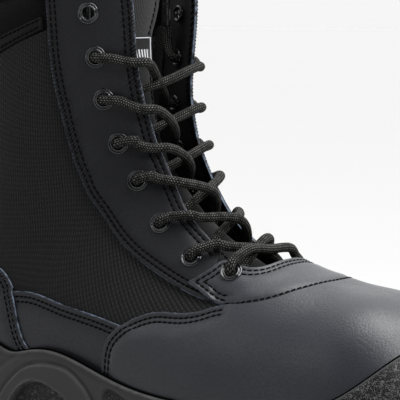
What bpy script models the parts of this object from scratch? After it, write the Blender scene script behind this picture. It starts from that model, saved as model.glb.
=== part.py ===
"""Lace-up safety boot for the right foot, about EU 43, as an assembly of its cut and moulded pieces.

Lengths in this file are millimetres on the drawn last, which is EU 45, and GRADE scales the finished
boot down to EU 43. Meshes are in metres. The boot is laid out with x from the back of the heel (0) to
the toe, y towards the inner (medial) side and z up from the ground. The world origin is on the ground
under the middle of the heel.

The upper is drawn on one reference surface. A station t runs from the toe tip (0) over the instep
to the top of the shaft (1). A place s runs around the foot, from 0 on the front centre line to -1
(lateral) or +1 (medial) at the sole edge or, on the shaft, at the back seam.
"""

import math

import bmesh
import bpy
import numpy as np
from mathutils import Vector
from mathutils.bvhtree import BVHTree
from mathutils.geometry import delaunay_2d_cdt

MM = 0.001
GRADE = 0.965  # from the drawn last to the made size
HEEL_CENTRE_X = 42.0

# Toe box, an ellipsoid-like dome from the toe tip back to TOE_BACK_X
TOE_TIP_X = 299.0
TOE_BACK_X = 238.0
TOE_EDGE_Z = 28.0
TOE_HEIGHT = 54.0
TOE_HALF_LATERAL = 47.0
TOE_HALF_MEDIAL = 46.0
TOE_ROW_ANGLES = (0.0, 14.0, 30.0, 46.0, 62.0, 77.0)

# Stations behind the toe: front x and z, back x and z, half width lateral and medial,
# shift of the middle towards medial, squareness of the section, and how far it wraps (degrees)
BODY_ROWS = [
    (238.0, 83.5, 237.0, 25.0, 47.5, 46.5, 2.5, 0.82, 93),
    (222.0, 87.5, 215.0, 23.0, 48.5, 46.5, 0.5, 0.86, 95),
    (207.0, 92.5, 189.0, 22.5, 48.5, 45.5, -1.0, 0.92, 98),
    (193.0, 99.5, 160.0, 24.5, 46.5, 42.0, -1.5, 0.97, 102),
    (180.0, 109.5, 130.0, 28.0, 43.5, 39.0, -1.0, 1.0, 107),
    (168.0, 121.0, 98.0, 31.5, 41.0, 37.0, -0.5, 1.0, 112),
    (158.0, 134.0, 63.0, 34.0, 39.0, 36.0, 0.0, 1.0, 120),
    (150.5, 147.0, 31.0, 35.0, 37.5, 36.0, 0.0, 1.0, 136),
    (145.5, 161.0, 6.5, 36.0, 37.5, 36.0, 0.0, 1.0, 165),
    (143.0, 175.0, 1.5, 52.0, 38.0, 36.5, 0.0, 1.0, 180),
    (141.5, 189.0, 4.0, 82.0, 39.0, 38.0, 0.0, 1.0, 180),
    (141.0, 203.0, 10.0, 116.0, 40.5, 39.5, 0.0, 1.0, 180),
    (141.0, 217.0, 13.0, 151.0, 42.0, 41.5, 0.0, 1.0, 180),
    (140.5, 232.0, 12.0, 190.0, 43.5, 43.0, 0.0, 1.0, 180),
    (139.5, 247.0, 9.0, 228.0, 45.0, 44.5, 0.0, 1.0, 180),
]
# How far the medial side's lacing edge lies further round than the lateral one, along t
MEDIAL_SHIFT = [
    (0.345, 0.0), (0.375, 0.050), (0.40, 0.080), (0.44, 0.095), (0.48, 0.100), (0.52, 0.085), (0.56, 0.070),
    (0.60, 0.062), (0.66, 0.045), (0.75, 0.038), (0.85, 0.020), (0.95, 0.010), (1.03, 0.010),
]
T_LENGTH = 500.0  # station length of the whole surface, for laying out triangles
S_LENGTH = 115.0
HEEL_ROW = 14  # the row whose back point is the lower back corner of the heel
CLOSED_ROW = 15  # from this row on, the section closes at the back

# Layers, as distances out from the reference surface
LINING_IN, LINING_OUT = -2.4, -1.2
STIFF_IN, STIFF_OUT = -0.2, 1.1
TOE_CAP_IN, TOE_CAP_OUT = 0.7, 2.5
CLOTH_IN, CLOTH_OUT = 0.0, 0.9
LEATHER_IN, LEATHER_OUT = 1.5, 2.7
OVERLAY_IN, OVERLAY_OUT = 3.3, 4.5
GAP = 0.3

# Outlines on the lateral side as (t, s). The medial side is their mirror image.
EYESTAY_FRONT = [
    (0.985, -0.20), (0.905, -0.19), (0.843, -0.185), (0.798, -0.18), (0.730, -0.165), (0.694, -0.16),
    (0.663, -0.17), (0.599, -0.20), (0.530, -0.235), (0.500, -0.24), (0.440, -0.24),
]
EYESTAY_REAR = [
    (0.392, -0.47), (0.423, -0.483), (0.460, -0.49), (0.528, -0.49), (0.579, -0.47), (0.617, -0.44),
    (0.653, -0.40), (0.696, -0.36), (0.742, -0.365), (0.790, -0.385), (0.847, -0.41), (0.891, -0.42),
    (0.944, -0.42), (0.985, -0.42),
]
EYELETS = [
    (0.393, -0.305), (0.464, -0.360), (0.544, -0.345), (0.629, -0.295), (0.698, -0.255),
    (0.774, -0.275), (0.843, -0.295), (0.909, -0.310), (0.966, -0.315),
]
SADDLE_TOP = [
    (0.4385, -0.450), (0.424, -0.34), (0.4215, -0.29), (0.405, -0.255), (0.381, -0.23), (0.363, -0.17),
    (0.358, -0.06),
]
SADDLE_BOTTOM = [
    (0.268, -0.06), (0.277, -0.18), (0.284, -0.23), (0.300, -0.32), (0.321, -0.39), (0.345, -0.435),
    (0.371, -0.460),
]
SADDLE_REAR = [(0.383, -0.465), (0.4127, -0.455)]
WING_EDGE = [
    (0.382, -0.483), (0.393, -0.515), (0.417, -0.565), (0.446, -0.60), (0.462, -0.63), (0.478, -0.68),
    (0.486, -0.73), (0.488, -0.77), (0.484, -0.82), (0.472, -0.90), (0.462, -0.985),
]
COUNTER_EDGE = [
    (0.545, -0.985), (0.568, -0.90), (0.583, -0.87), (0.623, -0.76), (0.643, -0.70), (0.667, -0.64),
    (0.690, -0.612), (0.718, -0.63), (0.748, -0.69), (0.778, -0.78), (0.800, -0.88), (0.808, -0.97),
]
FOXING_TOP = [
    (0.652, -0.695), (0.639, -0.70), (0.587, -0.72), (0.536, -0.72), (0.484, -0.713), (0.462, -0.71),
]
FOXING_BOTTOM = [(0.442, -0.985), (0.572, -0.985), (0.610, -0.88)]
VAMP_TIP_T = 0.012
SEAM_GAP_T = 0.0045  # between the saddle and the vamp, along t
SOLE_S = 0.985  # pieces stop this close to the sole edge

BINDING = (0.915, 0.929)
COLLAR = (0.932, 0.992)
COLLAR_FRONT_S = 0.437
BACKSTAY_EDGE = [(0.818, -0.90), (0.865, -0.915), (0.912, -0.90)]
BACKSTAY_STEP = 0.6
QUARTER_FRONT = [
    (0.385, -0.420), (0.440, -0.425), (0.480, -0.425), (0.530, -0.425), (0.579, -0.405), (0.629, -0.36),
    (0.698, -0.325), (0.774, -0.345), (0.843, -0.365), (0.910, -0.38),
]
QUARTER_BACK = [(0.913, -0.50), (0.912, -0.75), (0.912, -0.985), (0.750, -0.985)]
QUARTER_BOTTOM = [
    (0.735, -0.84), (0.700, -0.775), (0.640, -0.775), (0.580, -0.79), (0.480, -0.78), (0.412, -0.65),
    (0.377, -0.52),
]
STIFFENER_EDGE = [(0.565, -0.985), (0.600, -0.86), (0.640, -0.80), (0.690, -0.80), (0.722, -0.86)]
TOE_CAP_REAR = [(0.150, -0.97), (0.165, -0.55), (0.175, 0.0), (0.165, 0.55), (0.150, 0.97)]
LINING_THROAT = [(0.437, -0.98), (0.420, -0.50), (0.352, -0.30)]
LINING_FRONT = [
    (0.445, -0.985), (0.445, -0.52), (0.500, -0.46), (0.560, -0.46), (0.630, -0.41), (0.700, -0.37),
    (0.780, -0.39), (0.860, -0.41), (0.925, -0.42),
]

# Eyelets: bore, barrel and flange radii, and their heights about the leather
EYELET_BORE_R = 3.0
EYELET_BARREL_R = 3.35
EYELET_FLANGE_R = 5.3
EYELET_BACK_R = 4.3
EYELET_HEIGHT = 1.1
EYELET_TAIL = 1.0  # from the leather to the rolled back, and the roll's own height
EYELET_ROLL = 0.6
EYELET_HOLE_R = 3.8
EYELET_SIDES = 12

# Lace
LACE_R = 2.0
LACE_SIDES = 6
CROSSING_CLEAR = 4.2  # between a strand at the middle and the tongue
AGLET_R = 1.7
AGLET_LENGTH = 18.0
TOP_LACED = len(EYELETS) - 3  # the pairs above it are left unlaced
# Where each strand leaves its flap between two eyelets, from the lateral side and from the medial one
FLAP_SHARES = {1: (0.25, 0.30, 0.38, 0.46, 0.50, 0.50), -1: (0.02, 0.10, 0.26, 0.50, 0.60, 0.62)}
CROSSING_LIFTS = {(5, 1): 3.0, (6, 1): 1.5, (6, -1): 1.5}  # looser strands, by eyelet and side

# Tongue: its width, how far it lies in from the reference surface, and its cross curve
TONGUE_T = (0.375, 1.03)
TONGUE_WIDTH = [  # t, middle, half width
    (0.375, 0.0, 22.0), (0.50, 0.0, 21.0), (0.60, -3.0, 19.0), (0.72, -6.0, 16.5), (0.82, -6.0, 16.0),
    (0.87, -3.5, 22.0), (0.92, -1.5, 26.0), (1.03, 0.0, 26.0),
]
TONGUE_CURVE_R = 44.0
TONGUE_DEPTH = [
    (0.36, 5.4), (0.42, 7.4), (0.48, 10.2), (0.56, 13.8), (0.64, 18.0), (0.72, 21.5), (0.80, 23.5),
    (1.03, 24.0),
]
TONGUE_THICK = 3.5
LABEL_T = (0.772, 0.818)
LABEL_Y = -6.0
LABEL_HALF = 12.5

# Bottom unit
SIDEWALL = 3.4
SIDEWALL_TOP = 2.0
TREAD_FLOOR = 8.5
BOARD_THICK = 2.0
FOOTBED_THICK = 4.5
BOARD_INSET = 3.2
FOOTBED_INSET = 5.0
RING_POINTS = 72
WALL_CLEAR = 0.4
WALL_CLEAR_ROUND = 1.2  # room for the flats between points around the heel and the toe
ROUND_ENDS = (20.0, 250.0)
GROOVE_DEPTH = 3.6
GROOVE_WIDTH = 5.0
GROOVE_PLACES = (14.0, 30.0, 54.0, 150.0, 166.0, 208.0, 226.0, 244.0)
GROOVE_SLANT = 0.28
PLAIN_HALF = 7.0  # the ungrooved strip along the middle
SHANK = (70.0, 165.0, 10.0, 1.5)  # from x, to x, half width, thickness
SOLE_TOP_EDGE = [
    (-10.0, 52.0), (30.0, 50.0), (57.0, 47.5), (67.0, 45.0), (80.0, 47.0), (96.0, 48.5), (110.0, 46.5),
    (129.0, 41.5), (150.0, 37.0), (175.0, 34.5), (215.0, 33.5), (245.0, 36.5), (264.0, 45.0),
    (276.0, 54.5), (288.0, 63.5), (300.0, 68.0), (312.0, 69.0),
]
SOLE_GROUND = [
    (-12.0, 3.0), (6.0, 0.0), (40.0, 0.0), (74.0, 0.0), (84.0, 6.0), (100.0, 11.0), (116.0, 9.0),
    (132.0, 1.0), (142.0, 0.0), (180.0, 0.0), (232.0, 0.0), (262.0, 2.5), (290.0, 8.0), (310.0, 13.0),
]


def natural_spline(knots, values):
    """A natural cubic spline through the rows of values, straight beyond its last knot."""
    knots = np.asarray(knots, float)
    values = np.asarray(values, float)
    count, steps = len(knots), np.diff(knots)
    system = np.eye(count)
    right = np.zeros_like(values)
    for i in range(1, count - 1):
        system[i, i - 1 : i + 2] = steps[i - 1], 2 * (steps[i - 1] + steps[i]), steps[i]
        right[i] = 6 * ((values[i + 1] - values[i]) / steps[i] - (values[i] - values[i - 1]) / steps[i - 1])
    bend = np.linalg.solve(system, right)
    end_slope = (values[-1] - values[-2]) / steps[-1] + bend[-2] * steps[-1] / 6

    def at(t):
        t = np.asarray(t, float)
        inside = np.clip(t, knots[0], knots[-1])
        i = np.clip(np.searchsorted(knots, inside) - 1, 0, count - 2)
        step = steps[i][..., None]
        u = (knots[i + 1] - inside)[..., None] / step
        v = 1 - u
        curve = u * values[i] + v * values[i + 1]
        curve += ((u**3 - u) * bend[i] + (v**3 - v) * bend[i + 1]) * step**2 / 6
        return curve + (t - inside)[..., None] * end_slope

    return at


def toe_rows():
    """Stations of the toe dome, in the same columns as BODY_ROWS."""
    rows = []
    for angle in np.radians(TOE_ROW_ANGLES):
        forward, across = math.cos(angle), math.sin(angle)
        x = TOE_BACK_X + (TOE_TIP_X - TOE_BACK_X) * forward**0.95
        width = across**0.86
        top = TOE_EDGE_Z + 0.5 + TOE_HEIGHT * across**0.80
        half = (0.5 + TOE_HALF_LATERAL * width, 0.5 + TOE_HALF_MEDIAL * width)
        rows.append((x, top, x, TOE_EDGE_Z, *half, 9 - 6 * across, 0.80, 92))
    return rows


def station_curves():
    """The stations' places along t, and a spline through all their columns."""
    rows = np.array(toe_rows() + BODY_ROWS, float)
    front = np.hypot(*np.diff(rows[:, 0:2], axis=0).T)
    back = np.hypot(*np.diff(rows[:, 2:4], axis=0).T)
    knots = np.concatenate([[0], np.cumsum(front + 0.35 * back + 1.2)])
    knots /= knots[-1]
    return knots, natural_spline(knots, rows)


KNOTS, STATION = station_curves()
SHIFT_T, SHIFT_S = np.transpose(MEDIAL_SHIFT)
SHIFT = natural_spline(SHIFT_T, SHIFT_S[:, None])
HEEL_T = KNOTS[HEEL_ROW]
CLOSED_T = KNOTS[CLOSED_ROW]


def signed_power(value, power):
    return np.sign(value) * np.abs(value) ** power


def wrap(s):
    """Bring a place that runs past the back seam onto the other side."""
    return (np.asarray(s, float) + 1) % 2 - 1


def ease(low, high, value):
    """0 below low, 1 above high and smooth between."""
    share = np.clip((np.asarray(value, float) - low) / (high - low), 0, 1)
    return share * share * (3 - 2 * share)


def surface(t, s):
    """Points of the reference surface in millimetres."""
    t, s = np.broadcast_arrays(np.asarray(t, float), np.asarray(s, float))
    shift = SHIFT(np.clip(t, SHIFT_T[0], SHIFT_T[-1]))[..., 0]
    s = s + shift * ease(0.0, 0.2, s) * (1 - ease(0.5, 0.85, s))
    row = STATION(t)
    x_front, z_front, x_back, z_back, lateral, medial, shift, power, reach = np.moveaxis(row, -1, 0)
    reach = np.radians(np.minimum(reach, 180))
    angle = np.abs(s) * reach
    along = (1 - signed_power(np.cos(angle), power)) / (1 - signed_power(np.cos(reach), power))
    half = np.where(s < 0, lateral, medial)
    y = shift + np.sign(s) * half * np.abs(np.sin(angle)) ** power
    return np.stack([x_front + (x_back - x_front) * along, y, z_front + (z_back - z_front) * along], -1)


def normals(t, s):
    """Outward unit normals of the reference surface."""
    t, s = np.broadcast_arrays(np.asarray(t, float), np.asarray(s, float))
    closed = t >= CLOSED_T
    more = np.where(closed, wrap(s + 0.006), np.minimum(s + 0.006, 1))
    less = np.where(closed, wrap(s - 0.006), np.maximum(s - 0.006, -1))
    along = surface(t + 0.002, s) - surface(np.maximum(t - 0.002, 0.001), s)
    around = surface(t, more) - surface(t, less)
    cross = np.cross(around, along)
    return cross / np.linalg.norm(cross, axis=-1, keepdims=True)


def shell_point(t, s, out):
    """A point at the distance out from the reference surface, past the back seam if s says so."""
    s = wrap(s)
    return surface(t, s) + np.asarray(out, float)[..., None] * normals(t, s)


def to_world(points):
    return (np.asarray(points, float) - (HEEL_CENTRE_X, 0, 0)) * GRADE * MM


def material(name, colour, roughness, metallic=0.0):
    mat = bpy.data.materials.new(name)
    mat.use_nodes = True
    shader = mat.node_tree.nodes["Principled BSDF"]
    shader.inputs["Base Color"].default_value = (*colour, 1)
    shader.inputs["Roughness"].default_value = roughness
    shader.inputs["Metallic"].default_value = metallic
    return mat


def add_object(name, points, faces, colour, roughness=0.6, metallic=0.0, smooth=40):
    """An object from points in millimetres, with a material of its own."""
    mesh = bpy.data.meshes.new(name)
    mesh.from_pydata(to_world(points).tolist(), [], [tuple(int(i) for i in f) for f in faces])
    mesh.shade_smooth()
    mesh.set_sharp_from_angle(angle=math.radians(smooth))
    mesh.materials.append(material(name, colour, roughness, metallic))
    obj = bpy.data.objects.new(name, mesh)
    bpy.context.scene.collection.objects.link(obj)
    return obj


def inside(points, loop):
    """Which of the points lie inside a closed loop."""
    x, y = points[:, 0, None], points[:, 1, None]
    a, b = loop, np.roll(loop, -1, axis=0)
    crosses = (a[:, 1] > y) != (b[:, 1] > y)
    rise = np.where(b[:, 1] == a[:, 1], 1e-12, b[:, 1] - a[:, 1])
    at_x = a[:, 0] + (y - a[:, 1]) / rise * (b[:, 0] - a[:, 0])
    return (crosses & (x < at_x)).sum(axis=1) % 2 == 1


def refine(loop, step):
    """The loop with its long edges divided, so that none is much over the step."""
    points = []
    for a, b in zip(loop, np.roll(loop, -1, axis=0)):
        parts = max(1, math.ceil(np.hypot(*(b - a)) / step))
        points += [a + (b - a) * i / parts for i in range(parts)]
    return np.array(points)


def distance_to_loops(point, loops):
    """How far a point is from the nearest edge of the loops."""
    nearest = 1e9
    for loop in loops:
        a = loop
        side = np.roll(loop, -1, axis=0) - a
        along = ((point - a) * side).sum(axis=1) / np.maximum((side * side).sum(axis=1), 1e-12)
        foot = a + side * np.clip(along, 0, 1)[:, None]
        nearest = min(nearest, np.hypot(*(foot - point).T).min())
    return nearest


def triangulate(outline, holes, step):
    """Flat triangles that fill an outline but not its holes, and lie about a step apart."""
    outline = refine(np.asarray(outline, float), step)
    loops = [outline] + [np.asarray(h, float) for h in holes]
    low, high = outline.min(axis=0), outline.max(axis=0)
    columns = np.arange(low[0] + step / 2, high[0], step)
    rows = np.arange(low[1] + step / 2, high[1], step * 0.87)
    grid = np.array([(x + (j % 2) * step / 2, y) for j, y in enumerate(rows) for x in columns])
    fixed = np.vstack(loops)
    keep = inside(grid, outline)
    for hole in loops[1:]:
        keep &= ~inside(grid, hole)
    near = np.array([distance_to_loops(g, loops) > step * 0.45 for g in grid])
    points = np.vstack([fixed, grid[keep & near]])
    edges, start = [], 0
    for loop in loops:
        count = len(loop)
        edges += [(start + i, start + (i + 1) % count) for i in range(count)]
        start += count
    verts, _, faces, *_ = delaunay_2d_cdt([Vector(p) for p in points], edges, [], 0, 1e-6, False)
    flat = np.array([tuple(v) for v in verts])
    triangles = np.array(faces)
    middle = flat[triangles].mean(axis=1)
    keep = inside(middle, outline)
    for hole in loops[1:]:
        keep &= ~inside(middle, hole)
    a, b, c = (flat[triangles[:, i]] for i in range(3))
    twice_area = (b - a)[:, 0] * (c - a)[:, 1] - (b - a)[:, 1] * (c - a)[:, 0]
    keep &= np.abs(twice_area) > 0.01
    triangles[twice_area < 0] = triangles[twice_area < 0][:, ::-1]
    used, renumbered = np.unique(triangles[keep], return_inverse=True)
    return flat[used], renumbered.reshape(-1, 3)


def border_edges(triangles):
    """Edges that only one triangle uses, in that triangle's direction."""
    edges = {(t[i], t[(i + 1) % 3]) for t in triangles for i in range(3)}
    return [e for e in edges if (e[1], e[0]) not in edges]


def thicken(triangles, top, bottom):
    """A closed shell from one triangle layer: top faces keep their turn, bottom faces are reversed."""
    count = len(top)
    faces = [tuple(t) for t in triangles]
    faces += [(t[2] + count, t[1] + count, t[0] + count) for t in triangles]
    for a, b in border_edges(triangles):
        faces += [(b, a, a + count), (b, a + count, b + count)]
    return np.vstack([top, bottom]), faces


def hole_loop(t, s, radius, sides=EYELET_SIDES):
    """A round hole of the given radius on the surface, as (t, s) points."""
    per_t = (surface(t + 0.002, s) - surface(t - 0.002, s)) / 0.004
    per_s = (surface(t, s + 0.005) - surface(t, s - 0.005)) / 0.01
    _, _, along, around = frame_at(t, s)
    to_ts = np.linalg.pinv(np.stack([per_t, per_s], -1))
    turns = np.arange(sides) * math.tau / sides
    rim = radius * (np.cos(turns)[:, None] * along + np.sin(turns)[:, None] * around)
    return (t, s) + rim @ to_ts.T


def plate(name, outline, inner, outer, colour, holes=(), step=10.0, **look):
    """A cut piece of sheet that follows the reference surface between two distances."""
    scale = np.array([T_LENGTH, S_LENGTH])
    loops = [np.asarray(loop, float) * scale for loop in (outline, *holes)]
    flat, triangles = triangulate(loops[0], loops[1:], step)
    t, s = (flat / scale).T
    triangles = triangles[:, ::-1]
    top = shell_point(t, s, np.full(len(t), outer))
    bottom = shell_point(t, s, np.full(len(t), inner))
    return add_object(name, *thicken(triangles, top, bottom), colour, **look)


def mirror(points):
    return [(t, -s) for t, s in reversed(points)]


def around_front(lateral):
    """An edge on the lateral side continued over the front to the medial side."""
    return list(lateral) + mirror(lateral)


LEATHER = (0.020, 0.021, 0.024)
CLOTH = (0.011, 0.011, 0.012)
RUBBER = (0.028, 0.028, 0.029)


def eyestay(side, sign):
    outline = [(t, sign * s) for t, s in EYESTAY_FRONT + EYESTAY_REAR]
    holes = [hole_loop(t, sign * s, EYELET_HOLE_R) for t, s in EYELETS[1:]]
    plate(f"eyestay_{side}", outline, LEATHER_IN, LEATHER_OUT, LEATHER, holes, roughness=0.42)


def throat_saddle():
    lower = (SADDLE_BOTTOM + SADDLE_REAR)[::-1]
    outline = around_front(SADDLE_TOP) + around_front(lower)[::-1]
    t, s = EYELETS[0]
    holes = [hole_loop(t, side * s, EYELET_HOLE_R) for side in (1, -1)]
    plate("throat_saddle", outline, OVERLAY_IN, OVERLAY_OUT, LEATHER, holes, roughness=0.4)


def vamp():
    seam = [(t - SEAM_GAP_T, s * 1.02) for t, s in SADDLE_BOTTOM]
    lateral = seam + WING_EDGE
    outline = around_front(lateral[::-1]) + tip_edge(0.0, SOLE_S)
    plate("vamp", outline, OVERLAY_IN, OVERLAY_OUT, LEATHER, step=14.0, roughness=0.36)


def foxing(side, sign):
    outline = [(t, sign * s) for t, s in FOXING_TOP + FOXING_BOTTOM]
    plate(f"foxing_{side}", outline, LEATHER_IN, LEATHER_OUT, LEATHER, roughness=0.42)


def heel_slit(width=0.02):
    """The opening along the sole edge around the heel, from lateral to medial, past the back seam."""
    return [(HEEL_T - 0.01, -1 + width), (CLOSED_T, -1 + width / 2), (CLOSED_T, -1 - width / 2),
            (HEEL_T - 0.01, -1 - width)]


def around_back(lateral):
    """An edge on the lateral side continued past the back seam to the medial side."""
    return list(lateral) + [(t, -2 - s) for t, s in reversed(lateral)]


def heel_counter():
    outline = around_back(COUNTER_EDGE) + heel_slit()[::-1]
    plate("heel_counter", outline, OVERLAY_IN, OVERLAY_OUT, LEATHER, step=9.0, roughness=0.4)


def heel_stiffener():
    outline = around_back(STIFFENER_EDGE) + heel_slit()[::-1]
    plate("heel_stiffener", outline, STIFF_IN, STIFF_OUT, (0.32, 0.30, 0.26), step=10.0, roughness=0.8)


def backstay():
    inner, outer = LEATHER_IN + BACKSTAY_STEP, LEATHER_OUT + BACKSTAY_STEP
    plate("backstay", around_back(BACKSTAY_EDGE), inner, outer, LEATHER, step=8.0, roughness=0.42)


def quarter(side, sign):
    outline = [(t, sign * s) for t, s in QUARTER_FRONT + QUARTER_BACK + QUARTER_BOTTOM]
    plate(f"quarter_{side}", outline, CLOTH_IN, CLOTH_OUT, CLOTH, step=11.0, roughness=0.85)


def collar_band(name, t_low, t_high, inner, outer):
    """A band around the back of the shaft, from behind one eyestay to behind the other."""
    front, far = -COLLAR_FRONT_S, COLLAR_FRONT_S - 2
    outline = [(t_high, front), (t_high, far), (t_low, far), (t_low, front)]
    plate(name, outline, inner, outer, CLOTH, step=12.0, roughness=0.85)


def tip_edge(setback, reach):
    """An edge just behind the toe tip, from medial to lateral."""
    return [(VAMP_TIP_T + setback, s) for s in (reach, 0.6, 0.2, -0.2, -0.6, -reach)]


def toe_cap():
    outline = tip_edge(0.006, 0.97) + TOE_CAP_REAR
    look = {"step": 13.0, "roughness": 0.35, "metallic": 1.0}
    plate("toe_cap", outline, TOE_CAP_IN, TOE_CAP_OUT, (0.45, 0.46, 0.48), **look)


def linings():
    outline = tip_edge(0.008, 0.98) + around_front(LINING_THROAT)
    plate("lining_vamp", outline, LINING_IN, LINING_OUT, CLOTH, step=17.0, roughness=0.9)
    outline = around_back(LINING_FRONT) + heel_slit()[::-1]
    plate("lining_quarter", outline, LINING_IN, LINING_OUT, CLOTH, step=13.0, roughness=0.9)


def frame_at(t, s):
    """A place on the reference surface with its outward, along and around directions."""
    n = normals(t, s)
    along = surface(t + 0.003, s) - surface(t - 0.003, s)
    along -= n * (along @ n)
    along /= np.linalg.norm(along)
    return surface(t, s), n, along, np.cross(n, along)


def eyelet_profile(base):
    """Radius and height of the eyelet's section, for leather whose inner face is at base."""
    back = base - EYELET_TAIL
    front = base + LEATHER_OUT - LEATHER_IN + GAP
    return [
        (EYELET_BORE_R, back - EYELET_ROLL), (EYELET_BACK_R, back - EYELET_ROLL), (EYELET_BACK_R, back),
        (EYELET_BARREL_R, back), (EYELET_BARREL_R, front), (EYELET_FLANGE_R, front),
        (EYELET_FLANGE_R - 0.5, front + EYELET_HEIGHT), (EYELET_BORE_R, front + EYELET_HEIGHT),
    ]


def eyelet(name, t, s, base):
    centre, n, along, around = frame_at(t, s)
    profile = eyelet_profile(base)
    rows = len(profile)
    points, faces = [], []
    for i in range(EYELET_SIDES):
        turn = i * math.tau / EYELET_SIDES
        out = along * math.cos(turn) + around * math.sin(turn)
        points += [centre + out * r + n * h for r, h in profile]
        for j in range(rows):
            a, b = i * rows + j, i * rows + (j + 1) % rows
            c, d = (b + rows) % (rows * EYELET_SIDES), (a + rows) % (rows * EYELET_SIDES)
            faces.append((a, d, c, b))
    add_object(name, points, faces, (0.02, 0.02, 0.022), roughness=0.18, metallic=0.9)


def eyelets():
    for side, sign in (("lateral", 1), ("medial", -1)):
        for i, (t, s) in enumerate(EYELETS):
            base = OVERLAY_IN if i == 0 else LEATHER_IN
            eyelet(f"eyelet_{side}_{i + 1}", t, sign * s, base)


def smooth_path(points, longest):
    """A smooth curve through the given points, kept as vertices, with its long steps divided."""
    points = np.array(points, float)
    lengths = np.linalg.norm(np.diff(points, axis=0), axis=1)
    knots = np.concatenate([[0], np.cumsum(np.maximum(lengths, 0.5) ** 0.5)])
    places = [knots[:1]]
    for low, high, length in zip(knots, knots[1:], lengths):
        places.append(np.linspace(low, high, math.ceil(length / longest) + 1)[1:])
    return natural_spline(knots, points)(np.concatenate(places))


def tube(name, path, radius, sides, colour, **look):
    """A closed round tube along a path, its rings turning with the path and not twisting."""
    tangents = np.gradient(path, axis=0)
    tangents /= np.linalg.norm(tangents, axis=1, keepdims=True)
    normal = np.cross(tangents[0], (0, 0, 1))
    points, faces = [], []
    for centre, tangent in zip(path, tangents):
        normal = normal - tangent * (normal @ tangent)
        normal /= np.linalg.norm(normal)
        other = np.cross(tangent, normal)
        for i in range(sides):
            turn = i * math.tau / sides
            points.append(centre + radius * (normal * math.cos(turn) + other * math.sin(turn)))
    for row in range(len(path) - 1):
        for i in range(sides):
            a, b = row * sides + i, row * sides + (i + 1) % sides
            faces.append((a, b, b + sides, a + sides))
    faces.append(tuple(range(sides))[::-1])
    faces.append(tuple(range(len(points) - sides, len(points))))
    return add_object(name, points, faces, colour, **look)


def flap_edge_s(t):
    """The eyestay's front edge at a station."""
    edge = np.array(EYESTAY_FRONT)[::-1]
    return float(np.interp(t, edge[:, 0], edge[:, 1]))


# Heights of the lace's centre line: over the leather, under it, and the step up onto the saddle
LACE_OVER = LEATHER_OUT + EYELET_HEIGHT + GAP * 3 + LACE_R
LACE_UNDER = LEATHER_IN - EYELET_TAIL - EYELET_ROLL - GAP * 2 - LACE_R
LAYER_STEP = OVERLAY_IN - LEATHER_IN


def eyelet_pass(i, sign):
    """Three places straight up through eyelet i, from inside to outside."""
    t, s = EYELETS[i]
    base = LAYER_STEP if i == 0 else 0.0
    return [shell_point(t, sign * s, base + h) for h in (LACE_UNDER + 1.0, LEATHER_IN, LACE_OVER - 0.9)]


def crossing(i, sign, start, end, on_top):
    """Where a strand passes the middle: on its straight line, clear of the tongue and the other strand."""
    t = EYELETS[i][0] + 0.8 * (EYELETS[i - 1][0] - EYELETS[i][0])
    share = abs(start[1]) / (abs(start[1]) + abs(end[1]))
    chord = start + (end - start) * share
    n = normals(t, 0.0)
    fall = (surface(t, 0.0) - chord) @ n
    rest = min(fall - 0.6, np.interp(t, *np.transpose(TONGUE_DEPTH)) - LACE_R - CROSSING_CLEAR)
    if on_top:
        rest -= 2 * LACE_R + 2 * GAP
    return chord + n * (fall - rest + CROSSING_LIFTS.get((i, sign), 0.0))


def strand(i, sign, on_top):
    """Places from eyelet i on one side, over its flap edge and down inside, to eyelet i-1 on the other."""
    t0, s0 = EYELETS[i]
    t1, s1 = EYELETS[i - 1]
    span, flap = t1 - t0, FLAP_SHARES[sign][i - 1]
    edge = flap_edge_s(t0 + flap * span)
    places = [
        (t0 + 0.06 * span, s0 + 0.035, LACE_OVER),
        (t0 + 0.40 * flap * span, (s0 + edge) / 2, LACE_OVER - 0.4),
        (t0 + flap * span, edge - 0.01, LACE_OVER - 0.7),
        (t0 + (flap + 0.10) * span, edge + 0.025, LACE_OVER - 2.6),
    ]
    outside = [shell_point(t, sign * s, h) for t, s, h in places]
    base = LAYER_STEP if i == 1 else 0.0
    end = shell_point(t1, -sign * s1, base + LACE_UNDER - 1.2)
    middle = crossing(i, sign, outside[-1], end, on_top)
    near_end = middle + (end - middle) * 0.72 + normals(t1, 0.0) * 0.5
    return eyelet_pass(i, sign) + outside + [middle, near_end, end]


def bottom_bar(sign):
    """Places across the front between the two lowest eyelets, over everything."""
    t, s = EYELETS[0]
    top = LACE_OVER + LAYER_STEP
    half = [(0.003, 0.030, 0.2), (0.008, 0.085, 1.4), (0.010, 0.150, 2.2)]
    left, right = (
        [shell_point(t + up, side * (s + inward), top - lower) for up, inward, lower in half]
        for side in (sign, -sign)
    )
    right.reverse()
    return eyelet_pass(0, sign) + left + [(left[-1] + right[0]) / 2] + right + eyelet_pass(0, -sign)[::-1]


def lace_half(sign):
    """One half of the lace: its tucked end and its strands down to the lowest eyelet."""
    t, s = EYELETS[TOP_LACED]
    places = [shell_point(t + 0.05, sign * (s - 0.03), LACE_UNDER - 1.5)]
    places += [shell_point(t + 0.015, sign * (s - 0.02), LACE_UNDER - 0.2)]
    for i in range(TOP_LACED, 0, -1):
        places += strand(i, sign, on_top=(sign == -1) == (i in (TOP_LACED, 1)))
        sign = -sign
    return places, sign


def lace_path():
    """The whole lace: down one side, across the bottom bar and up the other side."""
    down, end = lace_half(1)
    up, _ = lace_half(-1)
    return down + bottom_bar(end) + up[::-1]


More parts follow.
